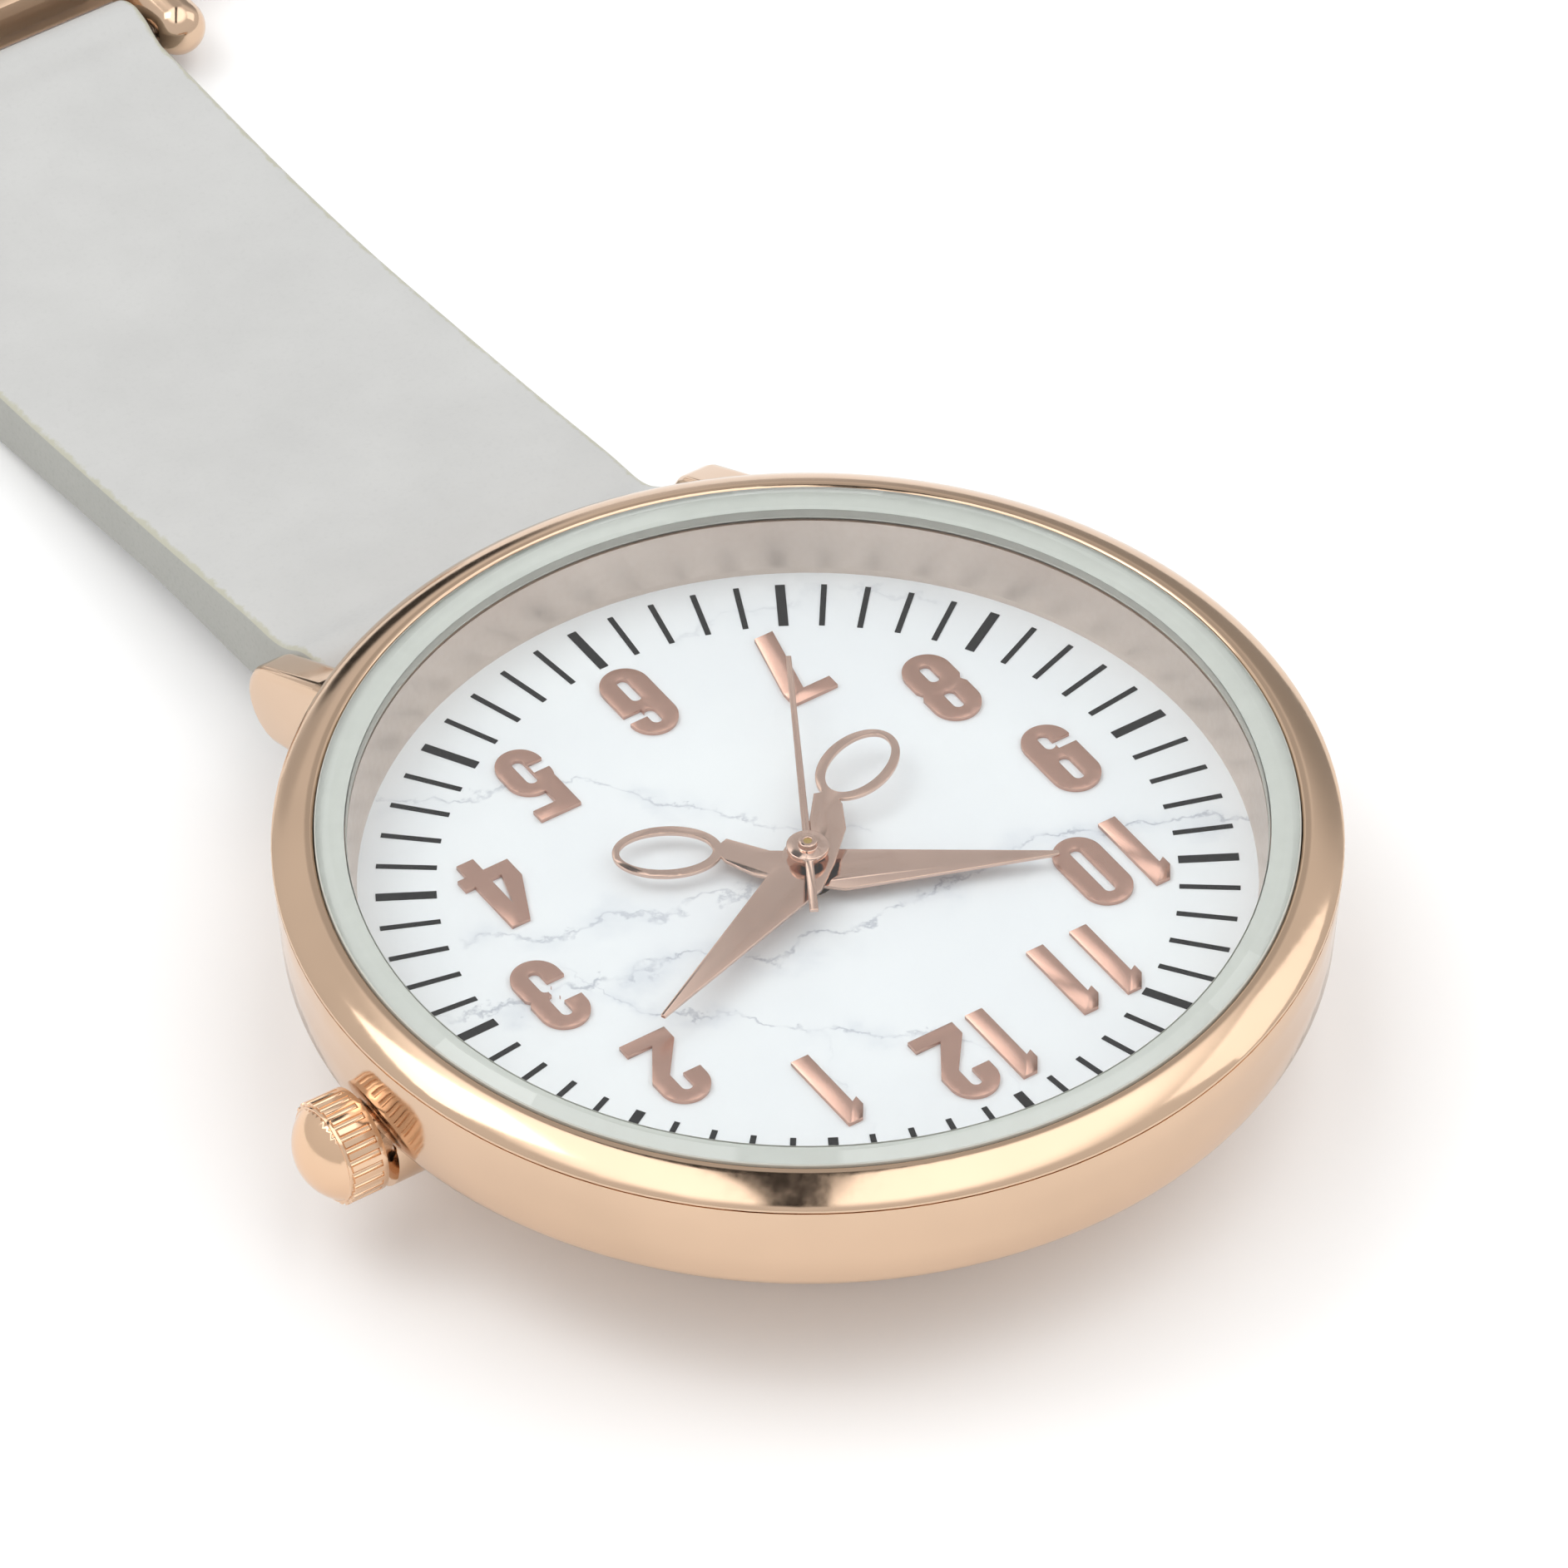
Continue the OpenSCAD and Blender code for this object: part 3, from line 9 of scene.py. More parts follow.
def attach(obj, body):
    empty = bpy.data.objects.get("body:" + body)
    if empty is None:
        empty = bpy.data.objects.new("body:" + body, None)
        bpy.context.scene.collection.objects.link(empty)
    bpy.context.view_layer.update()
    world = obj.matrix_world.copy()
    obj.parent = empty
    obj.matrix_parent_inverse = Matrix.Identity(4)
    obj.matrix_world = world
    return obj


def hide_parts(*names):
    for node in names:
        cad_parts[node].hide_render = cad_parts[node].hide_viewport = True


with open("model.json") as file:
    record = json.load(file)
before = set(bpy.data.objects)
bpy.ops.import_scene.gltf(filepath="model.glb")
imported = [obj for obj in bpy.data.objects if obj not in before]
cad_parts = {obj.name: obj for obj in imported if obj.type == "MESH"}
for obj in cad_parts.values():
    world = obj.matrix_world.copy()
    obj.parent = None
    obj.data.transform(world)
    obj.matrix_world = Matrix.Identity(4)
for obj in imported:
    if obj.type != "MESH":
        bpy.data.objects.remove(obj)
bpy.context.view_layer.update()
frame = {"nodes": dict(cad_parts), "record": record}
nodes = frame["nodes"]
MM = 0.001
# most of a noise texture's values lie in this band
NOISE_LOW, NOISE_HIGH = 0.3, 0.7


# ---------------------------------------------------------------- node helpers
class Tree:
    """Builds one procedural material."""

    def __init__(self, name):
        self.mat = bpy.data.materials.new(name)
        self.mat.use_nodes = True
        self.nt = self.mat.node_tree
        self.nt.nodes.clear()
        self.out = self.nt.nodes.new("ShaderNodeOutputMaterial")
        self.shader = self.nt.nodes.new("ShaderNodeBsdfPrincipled")
        self.link(self.shader.outputs[0], self.out.inputs["Surface"])
        coord = self.nt.nodes.new("ShaderNodeTexCoord")
        self.place = coord.outputs["Object"]

    def link(self, a, b):
        self.nt.links.new(a, b)

    def put(self, socket, value):
        if isinstance(value, bpy.types.NodeSocket):
            self.link(value, socket)
        else:
            socket.default_value = value

    def math(self, op, a, b=0.0):
        n = self.nt.nodes.new("ShaderNodeMath")
        n.operation = op
        self.put(n.inputs[0], a)
        self.put(n.inputs[1], b)
        return n.outputs[0]

    def scaled(self, vector, scale):
        n = self.nt.nodes.new("ShaderNodeVectorMath")
        n.operation = "MULTIPLY"
        self.put(n.inputs[0], vector)
        n.inputs[1].default_value = scale
        return n.outputs[0]

    def noise(self, per_mm, detail=3.0, rough=0.5, stretch=(1, 1, 1), offset=0.0):
        n = self.nt.nodes.new("ShaderNodeTexNoise")
        n.inputs["Scale"].default_value = per_mm
        n.inputs["Detail"].default_value = detail
        n.inputs["Roughness"].default_value = rough
        v = self.scaled(self.place, tuple(s / MM for s in stretch))
        if offset:
            m = self.nt.nodes.new("ShaderNodeVectorMath")
            m.operation = "ADD"
            self.link(v, m.inputs[0])
            m.inputs[1].default_value = (offset, offset * 0.7, offset * 1.3)
            v = m.outputs[0]
        self.link(v, n.inputs["Vector"])
        return n.outputs["Fac"]

    def remap(self, value, lo, hi, to_lo, to_hi, smooth=False):
        n = self.nt.nodes.new("ShaderNodeMapRange")
        n.interpolation_type = "SMOOTHSTEP" if smooth else "LINEAR"
        self.put(n.inputs["Value"], value)
        for key, v in zip(("From Min", "From Max", "To Min", "To Max"), (lo, hi, to_lo, to_hi)):
            n.inputs[key].default_value = v
        return n.outputs["Result"]

    def spread(self, noise, to_lo, to_hi):
        """Stretch a noise value over a range."""
        return self.remap(noise, NOISE_LOW, NOISE_HIGH, to_lo, to_hi)

    def place_mm(self):
        """Separate outputs of the place on the piece, in mm."""
        sep = self.nt.nodes.new("ShaderNodeSeparateXYZ")
        self.link(self.scaled(self.place, (1 / MM,) * 3), sep.inputs[0])
        return sep.outputs

    def mix(self, fac, a, b):
        n = self.nt.nodes.new("ShaderNodeMix")
        n.data_type = "RGBA"
        self.put(n.inputs[0], fac)
        for socket, v in ((n.inputs[6], a), (n.inputs[7], b)):
            self.put(socket, v if isinstance(v, bpy.types.NodeSocket) else (*v, 1.0))
        return n.outputs[2]

    def bump(self, height, strength, distance_mm):
        n = self.nt.nodes.new("ShaderNodeBump")
        n.inputs["Strength"].default_value = strength
        n.inputs["Distance"].default_value = distance_mm * MM
        self.put(n.inputs["Height"], height)
        self.link(n.outputs[0], self.shader.inputs["Normal"])

    def set(self, **values):
        for key, v in values.items():
            socket = self.shader.inputs[key.replace("_", " ").title().replace("Ior", "IOR")]
            self.put(socket, v)


def srgb(r, g, b):
    """Linear colour from 0-255 screen values."""
    def one(c):
        c /= 255
        # the sRGB transfer curve
        return c / 12.92 if c <= 0.04045 else ((c + 0.055) / 1.055) ** 2.4
    return (one(r), one(g), one(b))


FINE_RELIEF_MM = 0.02
LEATHER_RELIEF_MM = 0.06
STONE_RELIEF_MM = 0.01


def metal(name, base, rough, dark=0.92, grain=(1, 1, 1), per_mm=2.0, bump=0.0, vary=(0.8, 1.25)):
    """Plated or brushed metal: slight tone and gloss changes, fine grain."""
    t = Tree(name)
    broad = t.noise(0.16, 2.0)
    fine = t.noise(per_mm, 4.0, 0.6, grain, 3.0)
    tone = t.spread(broad, 0.0, 1.0)
    t.put(t.shader.inputs["Base Color"], t.mix(tone, tuple(c * dark for c in base), base))
    t.put(t.shader.inputs["Roughness"], t.spread(fine, rough * vary[0], rough * vary[1]))
    t.set(metallic=1.0)
    if bump:
        t.bump(fine, bump, FINE_RELIEF_MM)
    return t.mat


def plain(name, base, rough, per_mm=1.5, spread=0.12, bump=0.05, **extra):
    """Plastic, rubber, ink and resin: mottled slightly, with a fine surface."""
    t = Tree(name)
    fine = t.noise(per_mm, 5.0, 0.6)
    tone = t.spread(fine, 0.0, 1.0)
    low = tuple(c * (1 - spread) for c in base)
    t.put(t.shader.inputs["Base Color"], t.mix(tone, low, base))
    t.put(t.shader.inputs["Roughness"], t.spread(fine, rough * 0.9, min(1.0, rough * 1.15)))
    t.bump(fine, bump, FINE_RELIEF_MM)
    t.set(**extra)
    return t.mat


DIAL_HALF_MM = 17.0
# each vein: its points (x, y) across the dial in mm, and its strength
VEINS = (
    (((-9.6, 0.4), (-9.0, -1.2), (-8.2, -2.5), (-6.7, -4.0), (-5.2, -5.7), (-3.7, -6.8),
      (-2.0, -8.2), (-0.4, -9.4), (0.4, -13.0)), 0.9),
    (((-16.6, 1.6), (-14.0, 1.0), (-12.0, 0.3), (-9.3, -0.1), (-6.8, -0.7), (-4.7, -1.7),
      (-3.7, -2.5), (-2.3, -2.6), (-0.2, -3.2), (2.3, -3.3), (4.7, -3.0), (8.3, -3.2),
      (10.2, -3.8), (12.3, -5.0), (16.0, -6.8)), 1.0),
    (((-12.0, 4.2), (-9.3, 2.8), (-7.3, 2.2), (-4.0, 1.0), (-1.0, 0.6)), 0.75),
    (((-11.2, 13.5), (-10.0, 11.7), (-8.2, 10.3), (-6.5, 9.7), (-4.8, 9.2), (-3.7, 8.0),
      (-2.7, 6.5), (-1.5, 5.5), (-0.5, 4.0), (0.7, 2.7), (2.7, 0.7)), 0.8),
    (((-5.3, -12.0), (-4.6, -9.0), (-3.9, -7.2)), 0.35),
    (((3.0, 13.0), (8.0, 12.4), (13.0, 9.0)), 0.3),
)
VEIN_HALF_MM = 0.2
HAZE_HALF_MM = 1.5
LINE_SHARE, HAZE_SHARE = 0.52, 0.42


def vein_curve(t, points):
    """Float Curve node through the points of one vein, from x to y over the dial's width."""
    curve = t.nt.nodes.new("ShaderNodeFloatCurve")
    line = curve.mapping.curves[0]
    for i, (px, py) in enumerate(points):
        at = ((px + DIAL_HALF_MM) / (2 * DIAL_HALF_MM), (py + DIAL_HALF_MM) / (2 * DIAL_HALF_MM))
        if i < 2:
            line.points[i].location = at
        else:
            line.points.new(*at)
    curve.mapping.update()
    return curve


def marble():
    """White stone with thin grey-blue veins. Each vein is a curve across the dial, wavered by noise."""
    t = Tree("dial_marble")
    half = DIAL_HALF_MM
    place = t.place_mm()
    waver = t.remap(t.noise(0.55, 5.0, 0.62), 0.2, 0.8, -1.1, 1.1)
    waver2 = t.remap(t.noise(0.5, 5.0, 0.62, offset=9.0), 0.2, 0.8, -0.9, 0.9)
    x = t.math("ADD", place[0], waver2)
    y = t.math("ADD", place[1], waver)
    across = t.remap(x, -half, half, 0.0, 1.0)
    line = None
    haze = None
    for points, strength in VEINS:
        lo, hi = points[0][0], points[-1][0]
        curve = vein_curve(t, points)
        t.link(across, curve.inputs["Value"])
        target = t.remap(curve.outputs[0], 0.0, 1.0, -half, half)
        away = t.math("ABSOLUTE", t.math("SUBTRACT", y, target))
        begun = t.remap(x, lo - 0.6, lo + 0.8, 0.0, 1.0, True)
        unended = t.remap(x, hi - 0.8, hi + 0.6, 1.0, 0.0, True)
        inside = t.math("MULTIPLY", begun, unended)
        thin = t.math("MULTIPLY", t.remap(away, 0.0, VEIN_HALF_MM, strength, 0.0, True), inside)
        wide = t.math("MULTIPLY", t.remap(away, 0.0, HAZE_HALF_MM, strength, 0.0, True), inside)
        line = thin if line is None else t.math("MAXIMUM", line, thin)
        haze = wide if haze is None else t.math("MAXIMUM", haze, wide)
    broken = t.remap(t.noise(0.9, 4.0, 0.6, offset=4.0), 0.36, 0.62, 0.12, 1.0, True)
    cloudy = t.remap(t.noise(0.35, 4.0, 0.55, offset=15.0), 0.4, 0.7, 0.0, 1.0, True)
    patches = t.remap(t.noise(0.12, 3.0, offset=6.0), 0.35, 0.65, 0.0, 1.0)
    white = t.mix(patches, srgb(239, 242, 246), srgb(244, 247, 250))
    hazed = t.math("MULTIPLY", t.math("MULTIPLY", haze, cloudy), HAZE_SHARE)
    soft = t.mix(hazed, white, srgb(196, 203, 216))
    lined = t.math("MULTIPLY", t.math("MULTIPLY", line, broken), LINE_SHARE)
    t.put(t.shader.inputs["Base Color"], t.mix(lined, soft, srgb(128, 136, 156)))
    t.set(roughness=0.42)
    t.bump(t.noise(6.0, 2.0), 0.02, STONE_RELIEF_MM)
    return t.mat


def glass():
    """Clear mineral glass that lets the lamps reach the dial."""
    t = Tree("crystal_clear")
    t.set(base_color=(0.985, 0.995, 0.99, 1.0), roughness=0.0, ior=1.5, transmission_weight=1.0)
    clear = t.nt.nodes.new("ShaderNodeBsdfTransparent")
    clear.inputs[0].default_value = (0.97, 0.985, 0.98, 1.0)
    path = t.nt.nodes.new("ShaderNodeLightPath")
    mix = t.nt.nodes.new("ShaderNodeMixShader")
    t.link(path.outputs["Is Shadow Ray"], mix.inputs[0])
    t.link(t.shader.outputs[0], mix.inputs[1])
    t.link(clear.outputs[0], mix.inputs[2])
    t.link(mix.outputs[0], t.out.inputs["Surface"])
    return t.mat


STRAP_HALF = 8.0
# the worn rim starts this far in from the edge and is full this far in
WORN_FROM_MM, WORN_FULL_MM = 0.34, 0.16


def leather(name, base, edge=False):
    """Smooth coated calf leather: pores, faint creases across the strap, soft mottling."""
    t = Tree(name)
    mottling = t.noise(0.22, 4.0, 0.6)
    pores = t.noise(5.5, 3.0, 0.55, offset=2.0)
    creases = t.noise(0.9, 4.0, 0.6, (0.25, 1.6, 1.0), 5.0)
    low = tuple(c * 0.93 for c in base)
    tone = t.spread(mottling, 0.0, 1.0)
    colour = t.mix(tone, low, base)
    speck = t.remap(pores, 0.55, 0.75, 0.0, 0.35 if edge else 0.12)
    colour = t.mix(speck, colour, tuple(c * 0.72 for c in base))
    if not edge:
        # worn, slightly yellow rim along both edges
        across = t.place_mm()[0]
        ragged = t.spread(t.noise(1.6, 3.0, 0.7, offset=8.0), -0.12, 0.12)
        reach = t.math("ADD", t.math("ABSOLUTE", across), ragged)
        worn = t.remap(reach, STRAP_HALF - WORN_FROM_MM, STRAP_HALF - WORN_FULL_MM, 0.0, 0.75, True)
        colour = t.mix(worn, colour, srgb(182, 180, 158))
    t.put(t.shader.inputs["Base Color"], colour)
    t.put(t.shader.inputs["Roughness"], t.spread(pores, 0.46, 0.6))
    height = t.math("ADD", t.math("MULTIPLY", pores, 0.5), t.math("MULTIPLY", creases, 0.5))
    t.bump(height, 0.35 if edge else 0.14, LEATHER_RELIEF_MM)
    return t.mat


ROSE = srgb(219, 189, 162)
ROSE_DEEP = srgb(236, 200, 168)
PINK = srgb(206, 166, 150)
mats = {
    "case_metal": metal("rose_gold_polished", ROSE, 0.11),
    "crown_metal": metal("rose_gold_crown", ROSE_DEEP, 0.13),
    "brooch_metal": metal("rose_gold_brooch", ROSE, 0.12),
    "inner_ring_metal": metal("rose_satin_ring", srgb(226, 212, 202), 0.42, per_mm=4.0),
    "numeral_metal": metal("rose_numerals", PINK, 0.26, per_mm=9.0, bump=0.02, vary=(0.95, 1.05)),
    "hand_metal": metal("rose_hands", srgb(228, 196, 180), 0.1, dark=0.84, per_mm=6.0, bump=0.03,
                        vary=(0.9, 1.1)),
    "seal_rubber": plain("black_rubber", (0.025, 0.025, 0.025), 0.7),
    "crystal_seal": plain("crystal_seal_grey", srgb(203, 206, 200), 0.4, spread=0.05),
    "dial_face": marble(),
    "track_print": plain("track_ink", srgb(12, 12, 14), 0.8, bump=0.02, specular_ior_level=0.15),
    "holder_plastic": plain("holder_white", srgb(220, 220, 214), 0.5),
    "movement_brass": metal("movement_brass", srgb(206, 178, 112), 0.3, grain=(1, 0.1, 1),
                            per_mm=9.0, bump=0.1),
    "wheel_brass": metal("wheel_brass", srgb(214, 184, 112), 0.24, per_mm=9.0, bump=0.06),
    "steel": metal("fine_steel", srgb(196, 197, 200), 0.24, grain=(0.15, 1, 1), per_mm=8.0,
                   bump=0.06),
    "board_laminate": plain("board_green", srgb(34, 96, 58), 0.4),
    "chip_resin": plain("chip_black", srgb(26, 26, 28), 0.55),
    "coil_copper": metal("coil_copper", srgb(186, 102, 58), 0.3, grain=(12, 0.4, 0.4), per_mm=1.5,
                         bump=0.5),
    "crystal_glass": glass(),
    "strap_leather": leather("strap_leather", srgb(200, 200, 198)),
}
edge_paint = leather("strap_edge_paint", srgb(167, 167, 161), edge=True)
# pale side walls of the glass: partly the ground edge, partly a painted reflection, a pale band in place
# of the light the glass carries inside
ground_edge_painted_reflection = plain("crystal_ground_edge_painted_reflection", srgb(206, 206, 198), 0.7, spread=0.08)

slots = {s["node"]: s["material_slot"] for s in frame["record"]["subparts"]}
for name, ob in nodes.items():
    ob.data.materials.clear()
    ob.data.materials.append(mats[slots[name]])


# ------------------------------------------------- softened edges on CAD nodes
WELD_MM = 0.002
SHARP_DEG = 50
FLAT_DEG = 1
ROUND_STEPS = 3
HAND_EDGE_MM = 0.035


def soften(name, width_mm, flat_faces=False):
    """Round the sharp edges of a CAD node. flat_faces first merges the triangles of its flat faces."""
    ob = nodes[name]
    weld = ob.modifiers.new("weld", "WELD")
    weld.merge_threshold = WELD_MM * MM
    if flat_faces:
        merge = ob.modifiers.new("merge_flat_faces", "DECIMATE")
        merge.decimate_type = "DISSOLVE"
        merge.angle_limit = math.radians(FLAT_DEG)
    bevel = ob.modifiers.new("bevel", "BEVEL")
    bevel.width = width_mm * MM
    bevel.segments = ROUND_STEPS
    bevel.limit_method = "ANGLE"
    bevel.angle_limit = math.radians(SHARP_DEG)
    bevel.harden_normals = True
    for face in ob.data.polygons:
        face.use_smooth = True


for name, width in (
    ("mid_case", 0.08), ("bezel", 0.05), ("case_back", 0.15), ("crown", 0.03),
    ("brooch_frame", 0.3), ("hour_numerals", 0.05),
):
    soften(name, width)
for name in ("hour_hand", "minute_hand", "second_hand"):
    soften(name, HAND_EDGE_MM, flat_faces=True)


def to_object(name, bm, *materials):
    """Object in the scene from a bmesh, which is freed."""
    mesh = bpy.data.meshes.new(name)
    bm.to_mesh(mesh)
    bm.free()
    ob = bpy.data.objects.new(name, mesh)
    bpy.context.scene.collection.objects.link(ob)
    for mat in materials:
        ob.data.materials.append(mat)
    return ob


# ----------------------------------------------------------- the watch glass
CRYSTAL_PROFILE = (
    (0, 8.95), (16.3, 8.95), (16.35, 9.0), (16.35, 9.62), (17.4, 9.62), (17.45, 9.67), (17.45, 10.04),
    (17.41, 10.085), (16.95, 10.265), (16.85, 10.28), (16.75, 10.28), (0, 10.28),
)
CRYSTAL_SHARP_DEG = 12.0
TURN_STEPS = 240
# faces steeper than this are ground and take a pale edge colour, which is partly a painted internal
# reflection; the others polished
GROUND_AND_REFLECTION_BELOW_NZ = 0.8


def lathe(name, profile, sharp, *materials):
    """Turned solid about Z. profile is (r, z) in mm, and starts and ends on the axis."""
    bm = bmesh.new()
    rings = []
    for r, z in profile:
        if r == 0:
            rings.append([bm.verts.new((0, 0, z * MM))])
            continue
        turns = [math.tau * k / TURN_STEPS for k in range(TURN_STEPS)]
        rings.append([bm.verts.new((r * MM * math.cos(a), r * MM * math.sin(a), z * MM)) for a in turns])
    for a, b in zip(rings, rings[1:]):
        for k in range(TURN_STEPS):
            j = (k + 1) % TURN_STEPS
            quad = [a[k % len(a)], a[j % len(a)], b[j % len(b)], b[k % len(b)]]
            bm.faces.new([v for i, v in enumerate(quad) if v not in quad[:i]])
    bmesh.ops.recalc_face_normals(bm, faces=bm.faces)
    for f in bm.faces:
        f.smooth = True
    for e in bm.edges:
        if len(e.link_faces) == 2 and e.calc_face_angle() > math.radians(sharp):
            e.smooth = False
    return to_object(name, bm, *materials)


crystal = lathe("crystal_disc", CRYSTAL_PROFILE, CRYSTAL_SHARP_DEG, mats["crystal_glass"], ground_edge_painted_reflection)
# steep side walls get the pale ground edge colour, partly a painted internal reflection
for face in crystal.data.polygons:
    face.material_index = int(abs(face.normal.z) < GROUND_AND_REFLECTION_BELOW_NZ)
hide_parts("crystal")
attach(crystal, "root")


# ------------------------------------------------------------------- the strap
# all in mm; points are (y, z) on the strap's side view
CASE_BAR = (20.3, 4.7)
BROOCH_BAR = (58.0, 1.6)
LOOP_R = 1.52
BAR_HOLE_R = 0.8
STRAP_ROUND_R = 0.34
# the upper face between these y values is crowned a little across the strap
STRAP_CROWN = 0.03
CROWNED_RUN = (24, 55)
UPPER_FACE_NZ = 0.6
# the paint of the edge starts this share of the rounding in from the side
PAINT_SHARE = 0.35
INNER_STATIONS = (7.2, 6.4, 5.6, 4.8, 4.0, 3.2, 2.4, 1.6, 0.8, 0.0)
STRAP_BOTTOM = (
    (20.3, 3.18), (21.4, 2.98), (22.6, 2.48), (24.3, 2.13), (26.5, 1.98), (31, 1.75), (36.7, 1.03),
    (42.2, 0.29), (45.0, 0.12), (48, 0.08), (53, 0.08), (58.0, 0.08),
)
STRAP_TOP = (
    (58.0, 3.12), (57.3, 2.95), (56.4, 2.5), (55.2, 2.44), (48, 2.44), (42, 2.73), (36, 3.37),
    (30, 4.12), (25.2, 4.82), (23.2, 5.02), (22.2, 5.36), (21.2, 5.98), (20.3, 6.22),
)
CURVE_STEPS = 6
LOOP_STEPS = 22
HOLE_STEPS = 40
ROUND_STATIONS = 6


def catmull(points, steps):
    """Smooth open curve through points, as a list."""
    out = []
    for i in range(len(points) - 1):
        p0 = points[max(i - 1, 0)]
        p1, p2 = points[i], points[i + 1]
        p3 = points[min(i + 2, len(points) - 1)]
        for k in range(steps):
            s = k / steps
            out.append(tuple(
                0.5 * (2 * b + (c - a) * s + (2 * a - 5 * b + 4 * c - d) * s ** 2
                       + (3 * b - a - 3 * c + d) * s ** 3)
                for a, b, c, d in zip(p0, p1, p2, p3)))
    out.append(points[-1])
    return out


def arc(centre, r, start, end, steps):
    """Points on an arc between two angles in degrees."""
    angles = [math.radians(start + (end - start) * k / steps) for k in range(steps + 1)]
    return [(centre[0] + r * math.cos(a), centre[1] + r * math.sin(a)) for a in angles]


def strap_outline():
    """Side outline of the strap, in mm as (y, z), anticlockwise from the bottom of the case loop."""
    bottom = catmull(STRAP_BOTTOM, CURVE_STEPS)
    end = arc(BROOCH_BAR, LOOP_R, -90, 90, LOOP_STEPS)
    top = catmull(STRAP_TOP, CURVE_STEPS)
    start = arc(CASE_BAR, LOOP_R, 90, 270, LOOP_STEPS)
    return bottom[:-1] + end[:-1] + top[:-1] + start[:-1]


def outward_normals(outline):
    normals = []
    for i in range(len(outline)):
        a, b = outline[i - 1], outline[(i + 1) % len(outline)]
        t = Vector((b[0] - a[0], b[1] - a[1])).normalized()
        normals.append((t.y, -t.x))
    return normals


def strap_columns():
    """Stations across the strap as (x, inset): rounded rims at both sides, even steps between."""
    rim = []
    for k in range(ROUND_STATIONS + 1):
        a = math.radians(90 * k / ROUND_STATIONS)
        rim.append((STRAP_HALF - STRAP_ROUND_R + STRAP_ROUND_R * math.sin(a),
                    STRAP_ROUND_R * (1 - math.cos(a))))
    inner = [(x, 0.0) for x in INNER_STATIONS]
    side = list(reversed(rim)) + inner
    return [(-x, d) for x, d in side] + list(reversed(side[:-1]))


def build_strap():
    outline = strap_outline()
    n = len(outline)
    normals = outward_normals(outline)
    bm = bmesh.new()
    rings = []
    for x, inset in strap_columns():
        crown = STRAP_CROWN * (1 - (x / STRAP_HALF) ** 2)
        ring = []
        for (y, z), (ny, nz) in zip(outline, normals):
            d = -inset + (crown if nz > UPPER_FACE_NZ and CROWNED_RUN[0] < y < CROWNED_RUN[1] else 0.0)
            ring.append(bm.verts.new((x * MM, (y + ny * d) * MM, (z + nz * d) * MM)))
        rings.append(ring)
    for a, b in zip(rings, rings[1:]):
        for i in range(n):
            bm.faces.new((a[i], a[(i + 1) % n], b[(i + 1) % n], b[i]))
    holes = []
    for centre in (CASE_BAR, BROOCH_BAR):
        pts = arc(centre, BAR_HOLE_R, 0, 360, HOLE_STEPS)[:-1]
        ends = [[bm.verts.new((x * MM, y * MM, z * MM)) for y, z in pts]
                for x in (-STRAP_HALF, STRAP_HALF)]
        for i in range(HOLE_STEPS):
            j = (i + 1) % HOLE_STEPS
            bm.faces.new((ends[0][i], ends[0][j], ends[1][j], ends[1][i]))
        holes.append(ends)
    for side, ring in ((0, rings[0]), (1, rings[-1])):
        edges = []
        for loop in [ring] + [h[side] for h in holes]:
            for i in range(len(loop)):
                edges.append(bm.edges.get((loop[i], loop[(i + 1) % len(loop)])))
        made = bmesh.ops.triangle_fill(bm, use_beauty=True, use_dissolve=False, edges=edges)
        for f in made["geom"]:
            if isinstance(f, bmesh.types.BMFace):
                f.material_index = 1
    painted_from = (STRAP_HALF - STRAP_ROUND_R * PAINT_SHARE) * MM
    for f in bm.faces:
        if abs(f.calc_center_median().x) > painted_from:
            f.material_index = 1
        f.smooth = True
    bmesh.ops.recalc_face_normals(bm, faces=bm.faces)
    return to_object("leather_strap", bm, mats["strap_leather"], edge_paint)


strap = build_strap()
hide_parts("strap")
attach(strap, "strap")


# ------------------------------------------------------ floor, lights, camera
FLOOR_SIZE = 4.0
FLOOR_Z = -0.00002


def build_floor():
    mat = plain("floor_white", (0.93, 0.93, 0.93), 0.8, per_mm=0.01, spread=0.01, bump=0.0,
                emission_color=(1.0, 1.0, 1.0, 1.0), emission_strength=0.08)
    bm = bmesh.new()
    bmesh.ops.create_grid(bm, x_segments=1, y_segments=1, size=FLOOR_SIZE / 2)
    ob = to_object("floor", bm, mat)
    ob.location = (0, 0, FLOOR_Z)


build_floor()

world = bpy.data.worlds.new("studio")
bpy.context.scene.world = world
world.use_nodes = True
wt = world.node_tree
sky = wt.nodes.new("ShaderNodeTexCoord").outputs["Generated"]


def wnode(kind, **inputs):
    n = wt.nodes.new(kind)
    for key, v in inputs.items():
        socket = n.inputs[int(key[1:])]
        if isinstance(v, bpy.types.NodeSocket):
            wt.links.new(v, socket)
        else:
            socket.default_value = v
    return n


def wmap(value, lo, hi, to_lo, to_hi):
    n = wnode("ShaderNodeMapRange", i0=value, i1=lo, i2=hi, i3=to_lo, i4=to_hi)
    n.interpolation_type = "SMOOTHSTEP"
    return n.outputs[0]


def wtimes(a, b):
    n = wnode("ShaderNodeMath", i0=a, i1=b)
    n.operation = "MULTIPLY"
    return n.outputs[0]


def patch(direction, inner, outer, level):
    """1 everywhere but round this direction, where the studio is level bright."""
    n = wnode("ShaderNodeVectorMath", i0=sky, i1=Vector(direction).normalized())
    n.operation = "DOT_PRODUCT"
    outer_cos, inner_cos = math.cos(math.radians(outer)), math.cos(math.radians(inner))
    return wmap(n.outputs["Value"], outer_cos, inner_cos, 1.0, level)


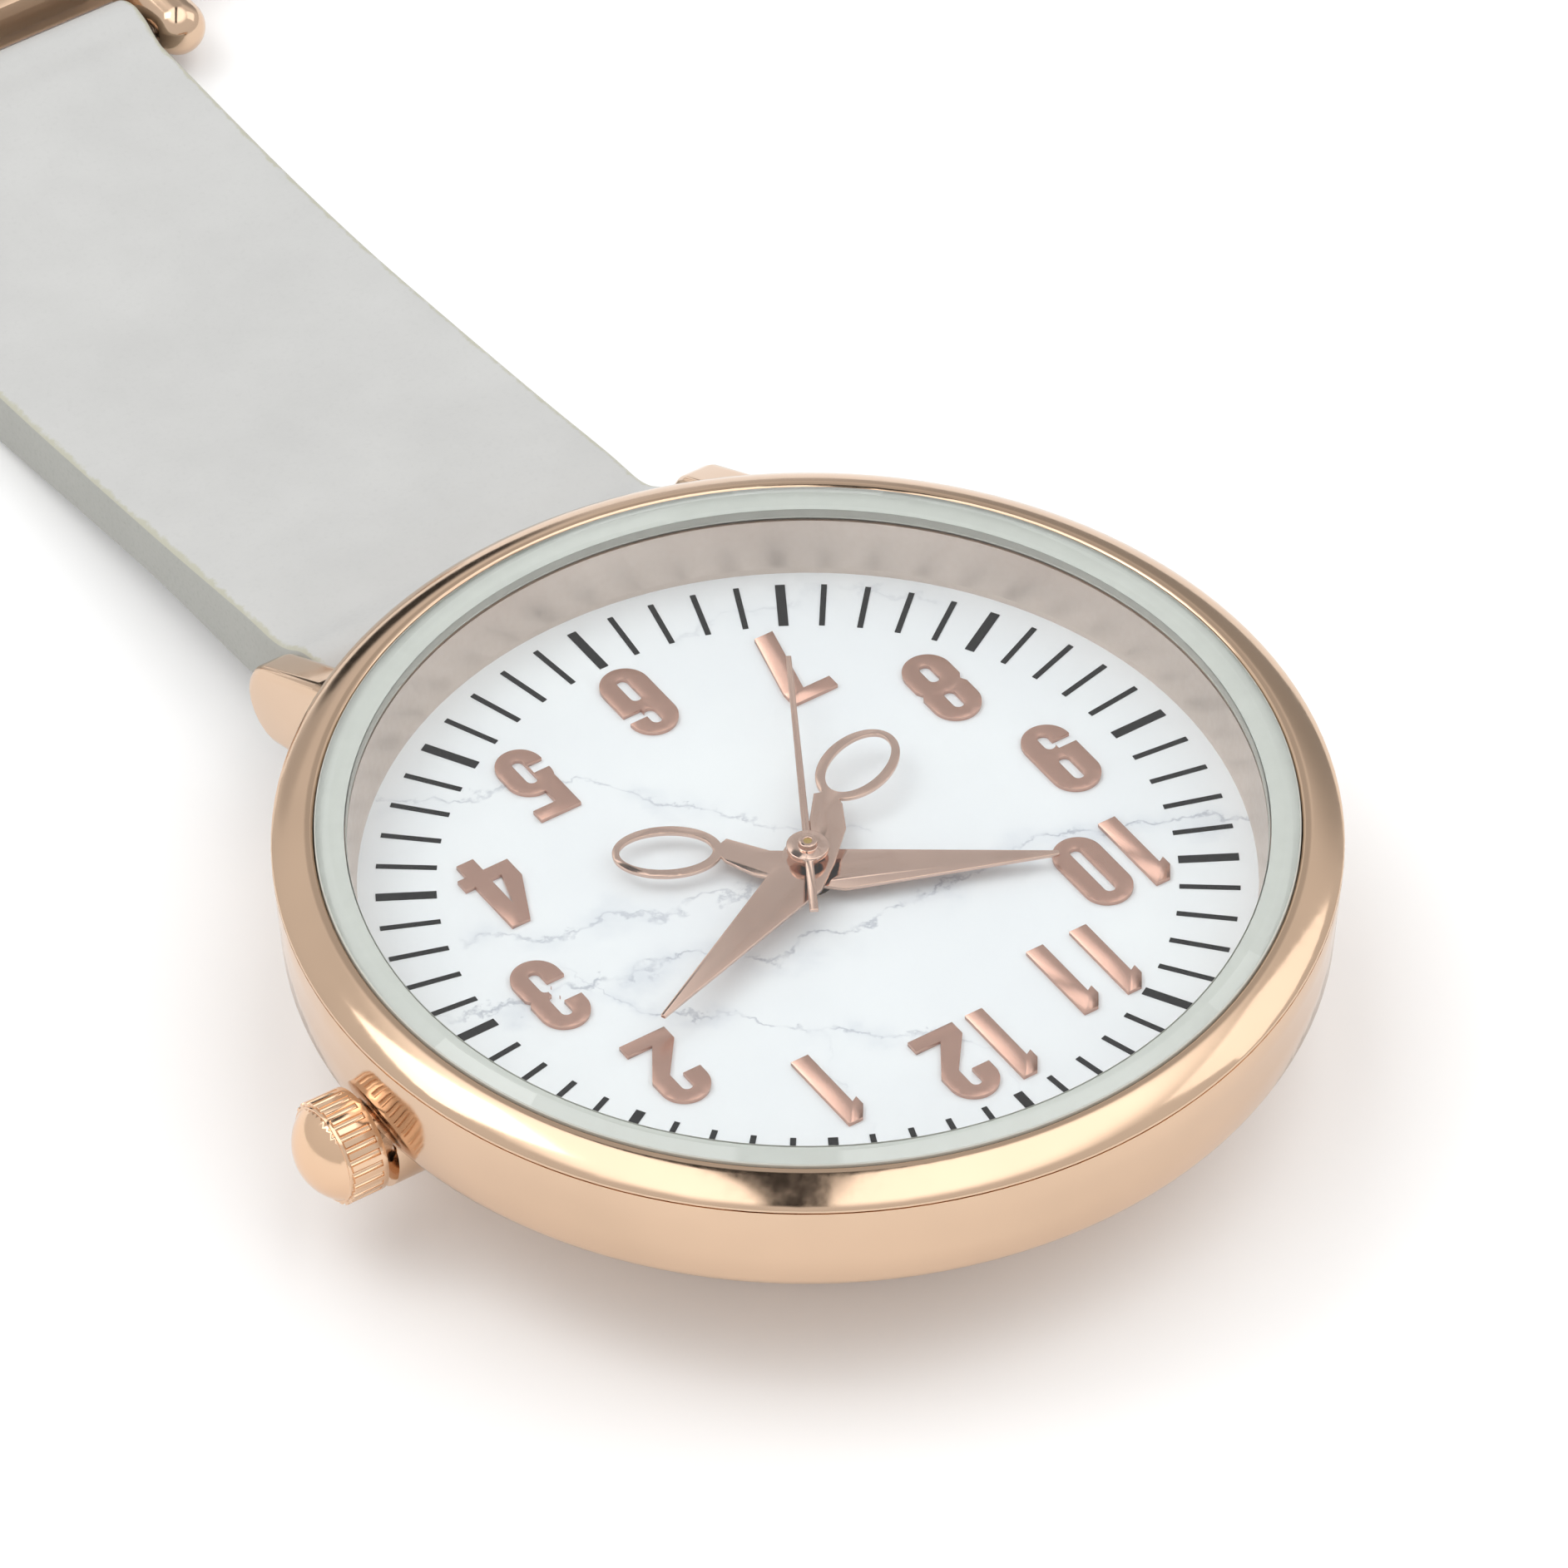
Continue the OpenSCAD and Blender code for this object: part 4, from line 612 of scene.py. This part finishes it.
# dark things round the studio: direction, inner and outer angle in degrees, brightness there
SPOTS = (
    ((0.27, 0.955, 0.1), 6.0, 11.0, 0.06),
    ((0.05, 0.97, 0.22), 4.0, 12.0, 0.75),
    ((0.8, 0.55, 0.15), 8.0, 30.0, 0.5),
    ((0.403, 0.607, 0.686), 7.0, 17.0, 0.7),
)
# a dark boom stands in one upright plane: its normal, its shift, its inner and outer half width
BOOM_NORMAL = (0.833, -0.553, 0.0)
BOOM_SHIFT = 0.028
BOOM_HALF = (0.064, 0.082)
BOOM_DARK = 0.01
WORLD_LEVEL = 0.86

height = wnode("ShaderNodeSeparateXYZ", i0=sky).outputs[2]
bright = wtimes(wmap(height, -0.05, 0.6, 0.88, 0.95), wmap(height, 0.74, 0.9, 1.0, 2.4))
for spot in SPOTS:
    bright = wtimes(bright, patch(*spot))
sideways = wnode("ShaderNodeVectorMath", i0=sky, i1=Vector(BOOM_NORMAL))
sideways.operation = "DOT_PRODUCT"
centred = wnode("ShaderNodeMath", i0=sideways.outputs["Value"], i1=BOOM_SHIFT)
centred.operation = "ADD"
apart = wnode("ShaderNodeMath", i0=centred.outputs[0])
apart.operation = "ABSOLUTE"
boom = wnode("ShaderNodeMath", i0=wmap(apart.outputs[0], *BOOM_HALF, BOOM_DARK, 1.0),
             i1=wmap(height, 0.76, 0.84, 1.0, 0.0))
boom.operation = "MAXIMUM"
bright = wtimes(bright, boom.outputs[0])
background = wt.nodes["Background"]
background.inputs[0].default_value = (1.0, 1.0, 1.0, 1.0)
wt.links.new(wtimes(bright, WORLD_LEVEL), background.inputs[1])


def area(name, at, size, power):
    """Square lamp that points at the watch."""
    light = bpy.data.lights.new(name, "AREA")
    light.shape = "RECTANGLE"
    light.size, light.size_y = size, size
    light.energy = power
    ob = bpy.data.objects.new(name, light)
    ob.location = at
    ob.rotation_euler = (-Vector(at)).to_track_quat("-Z", "Y").to_euler()
    bpy.context.scene.collection.objects.link(ob)


area("key", (-0.30, 0.30, 0.60), 0.30, 0.55)
area("fill", (0.45, -0.1, 0.35), 0.30, 0.25)

CAM_AZ, CAM_EL, CAM_ROLL = (math.radians(v) for v in (-33.554, 43.272, -0.258))
CAM_TARGET = (0, 0, 0.0071)
CAM_DISTANCE = 0.5338
CAM_SHIFT = (0.000846, 0.003357)
CAM_LENS_MM = 345.42
back = Vector((math.sin(CAM_AZ) * math.cos(CAM_EL), -math.cos(CAM_AZ) * math.cos(CAM_EL),
               math.sin(CAM_EL)))
level_right = (-back).cross(Vector((0, 0, 1))).normalized()
level_up = level_right.cross(-back)
right = level_right * math.cos(CAM_ROLL) + level_up * math.sin(CAM_ROLL)
up = level_up * math.cos(CAM_ROLL) - level_right * math.sin(CAM_ROLL)
cam = bpy.data.objects.new("camera", bpy.data.cameras.new("camera"))
bpy.context.scene.collection.objects.link(cam)
cam.location = Vector(CAM_TARGET) + back * CAM_DISTANCE - (right * CAM_SHIFT[0] - up * CAM_SHIFT[1])
cam.rotation_euler = Matrix((right, up, back)).transposed().to_euler()
cam.data.lens = CAM_LENS_MM
cam.data.sensor_width = 36.0
cam.data.clip_start, cam.data.clip_end = 0.01, 20.0
bpy.context.scene.camera = cam
bpy.context.scene.view_settings.view_transform = "Standard"
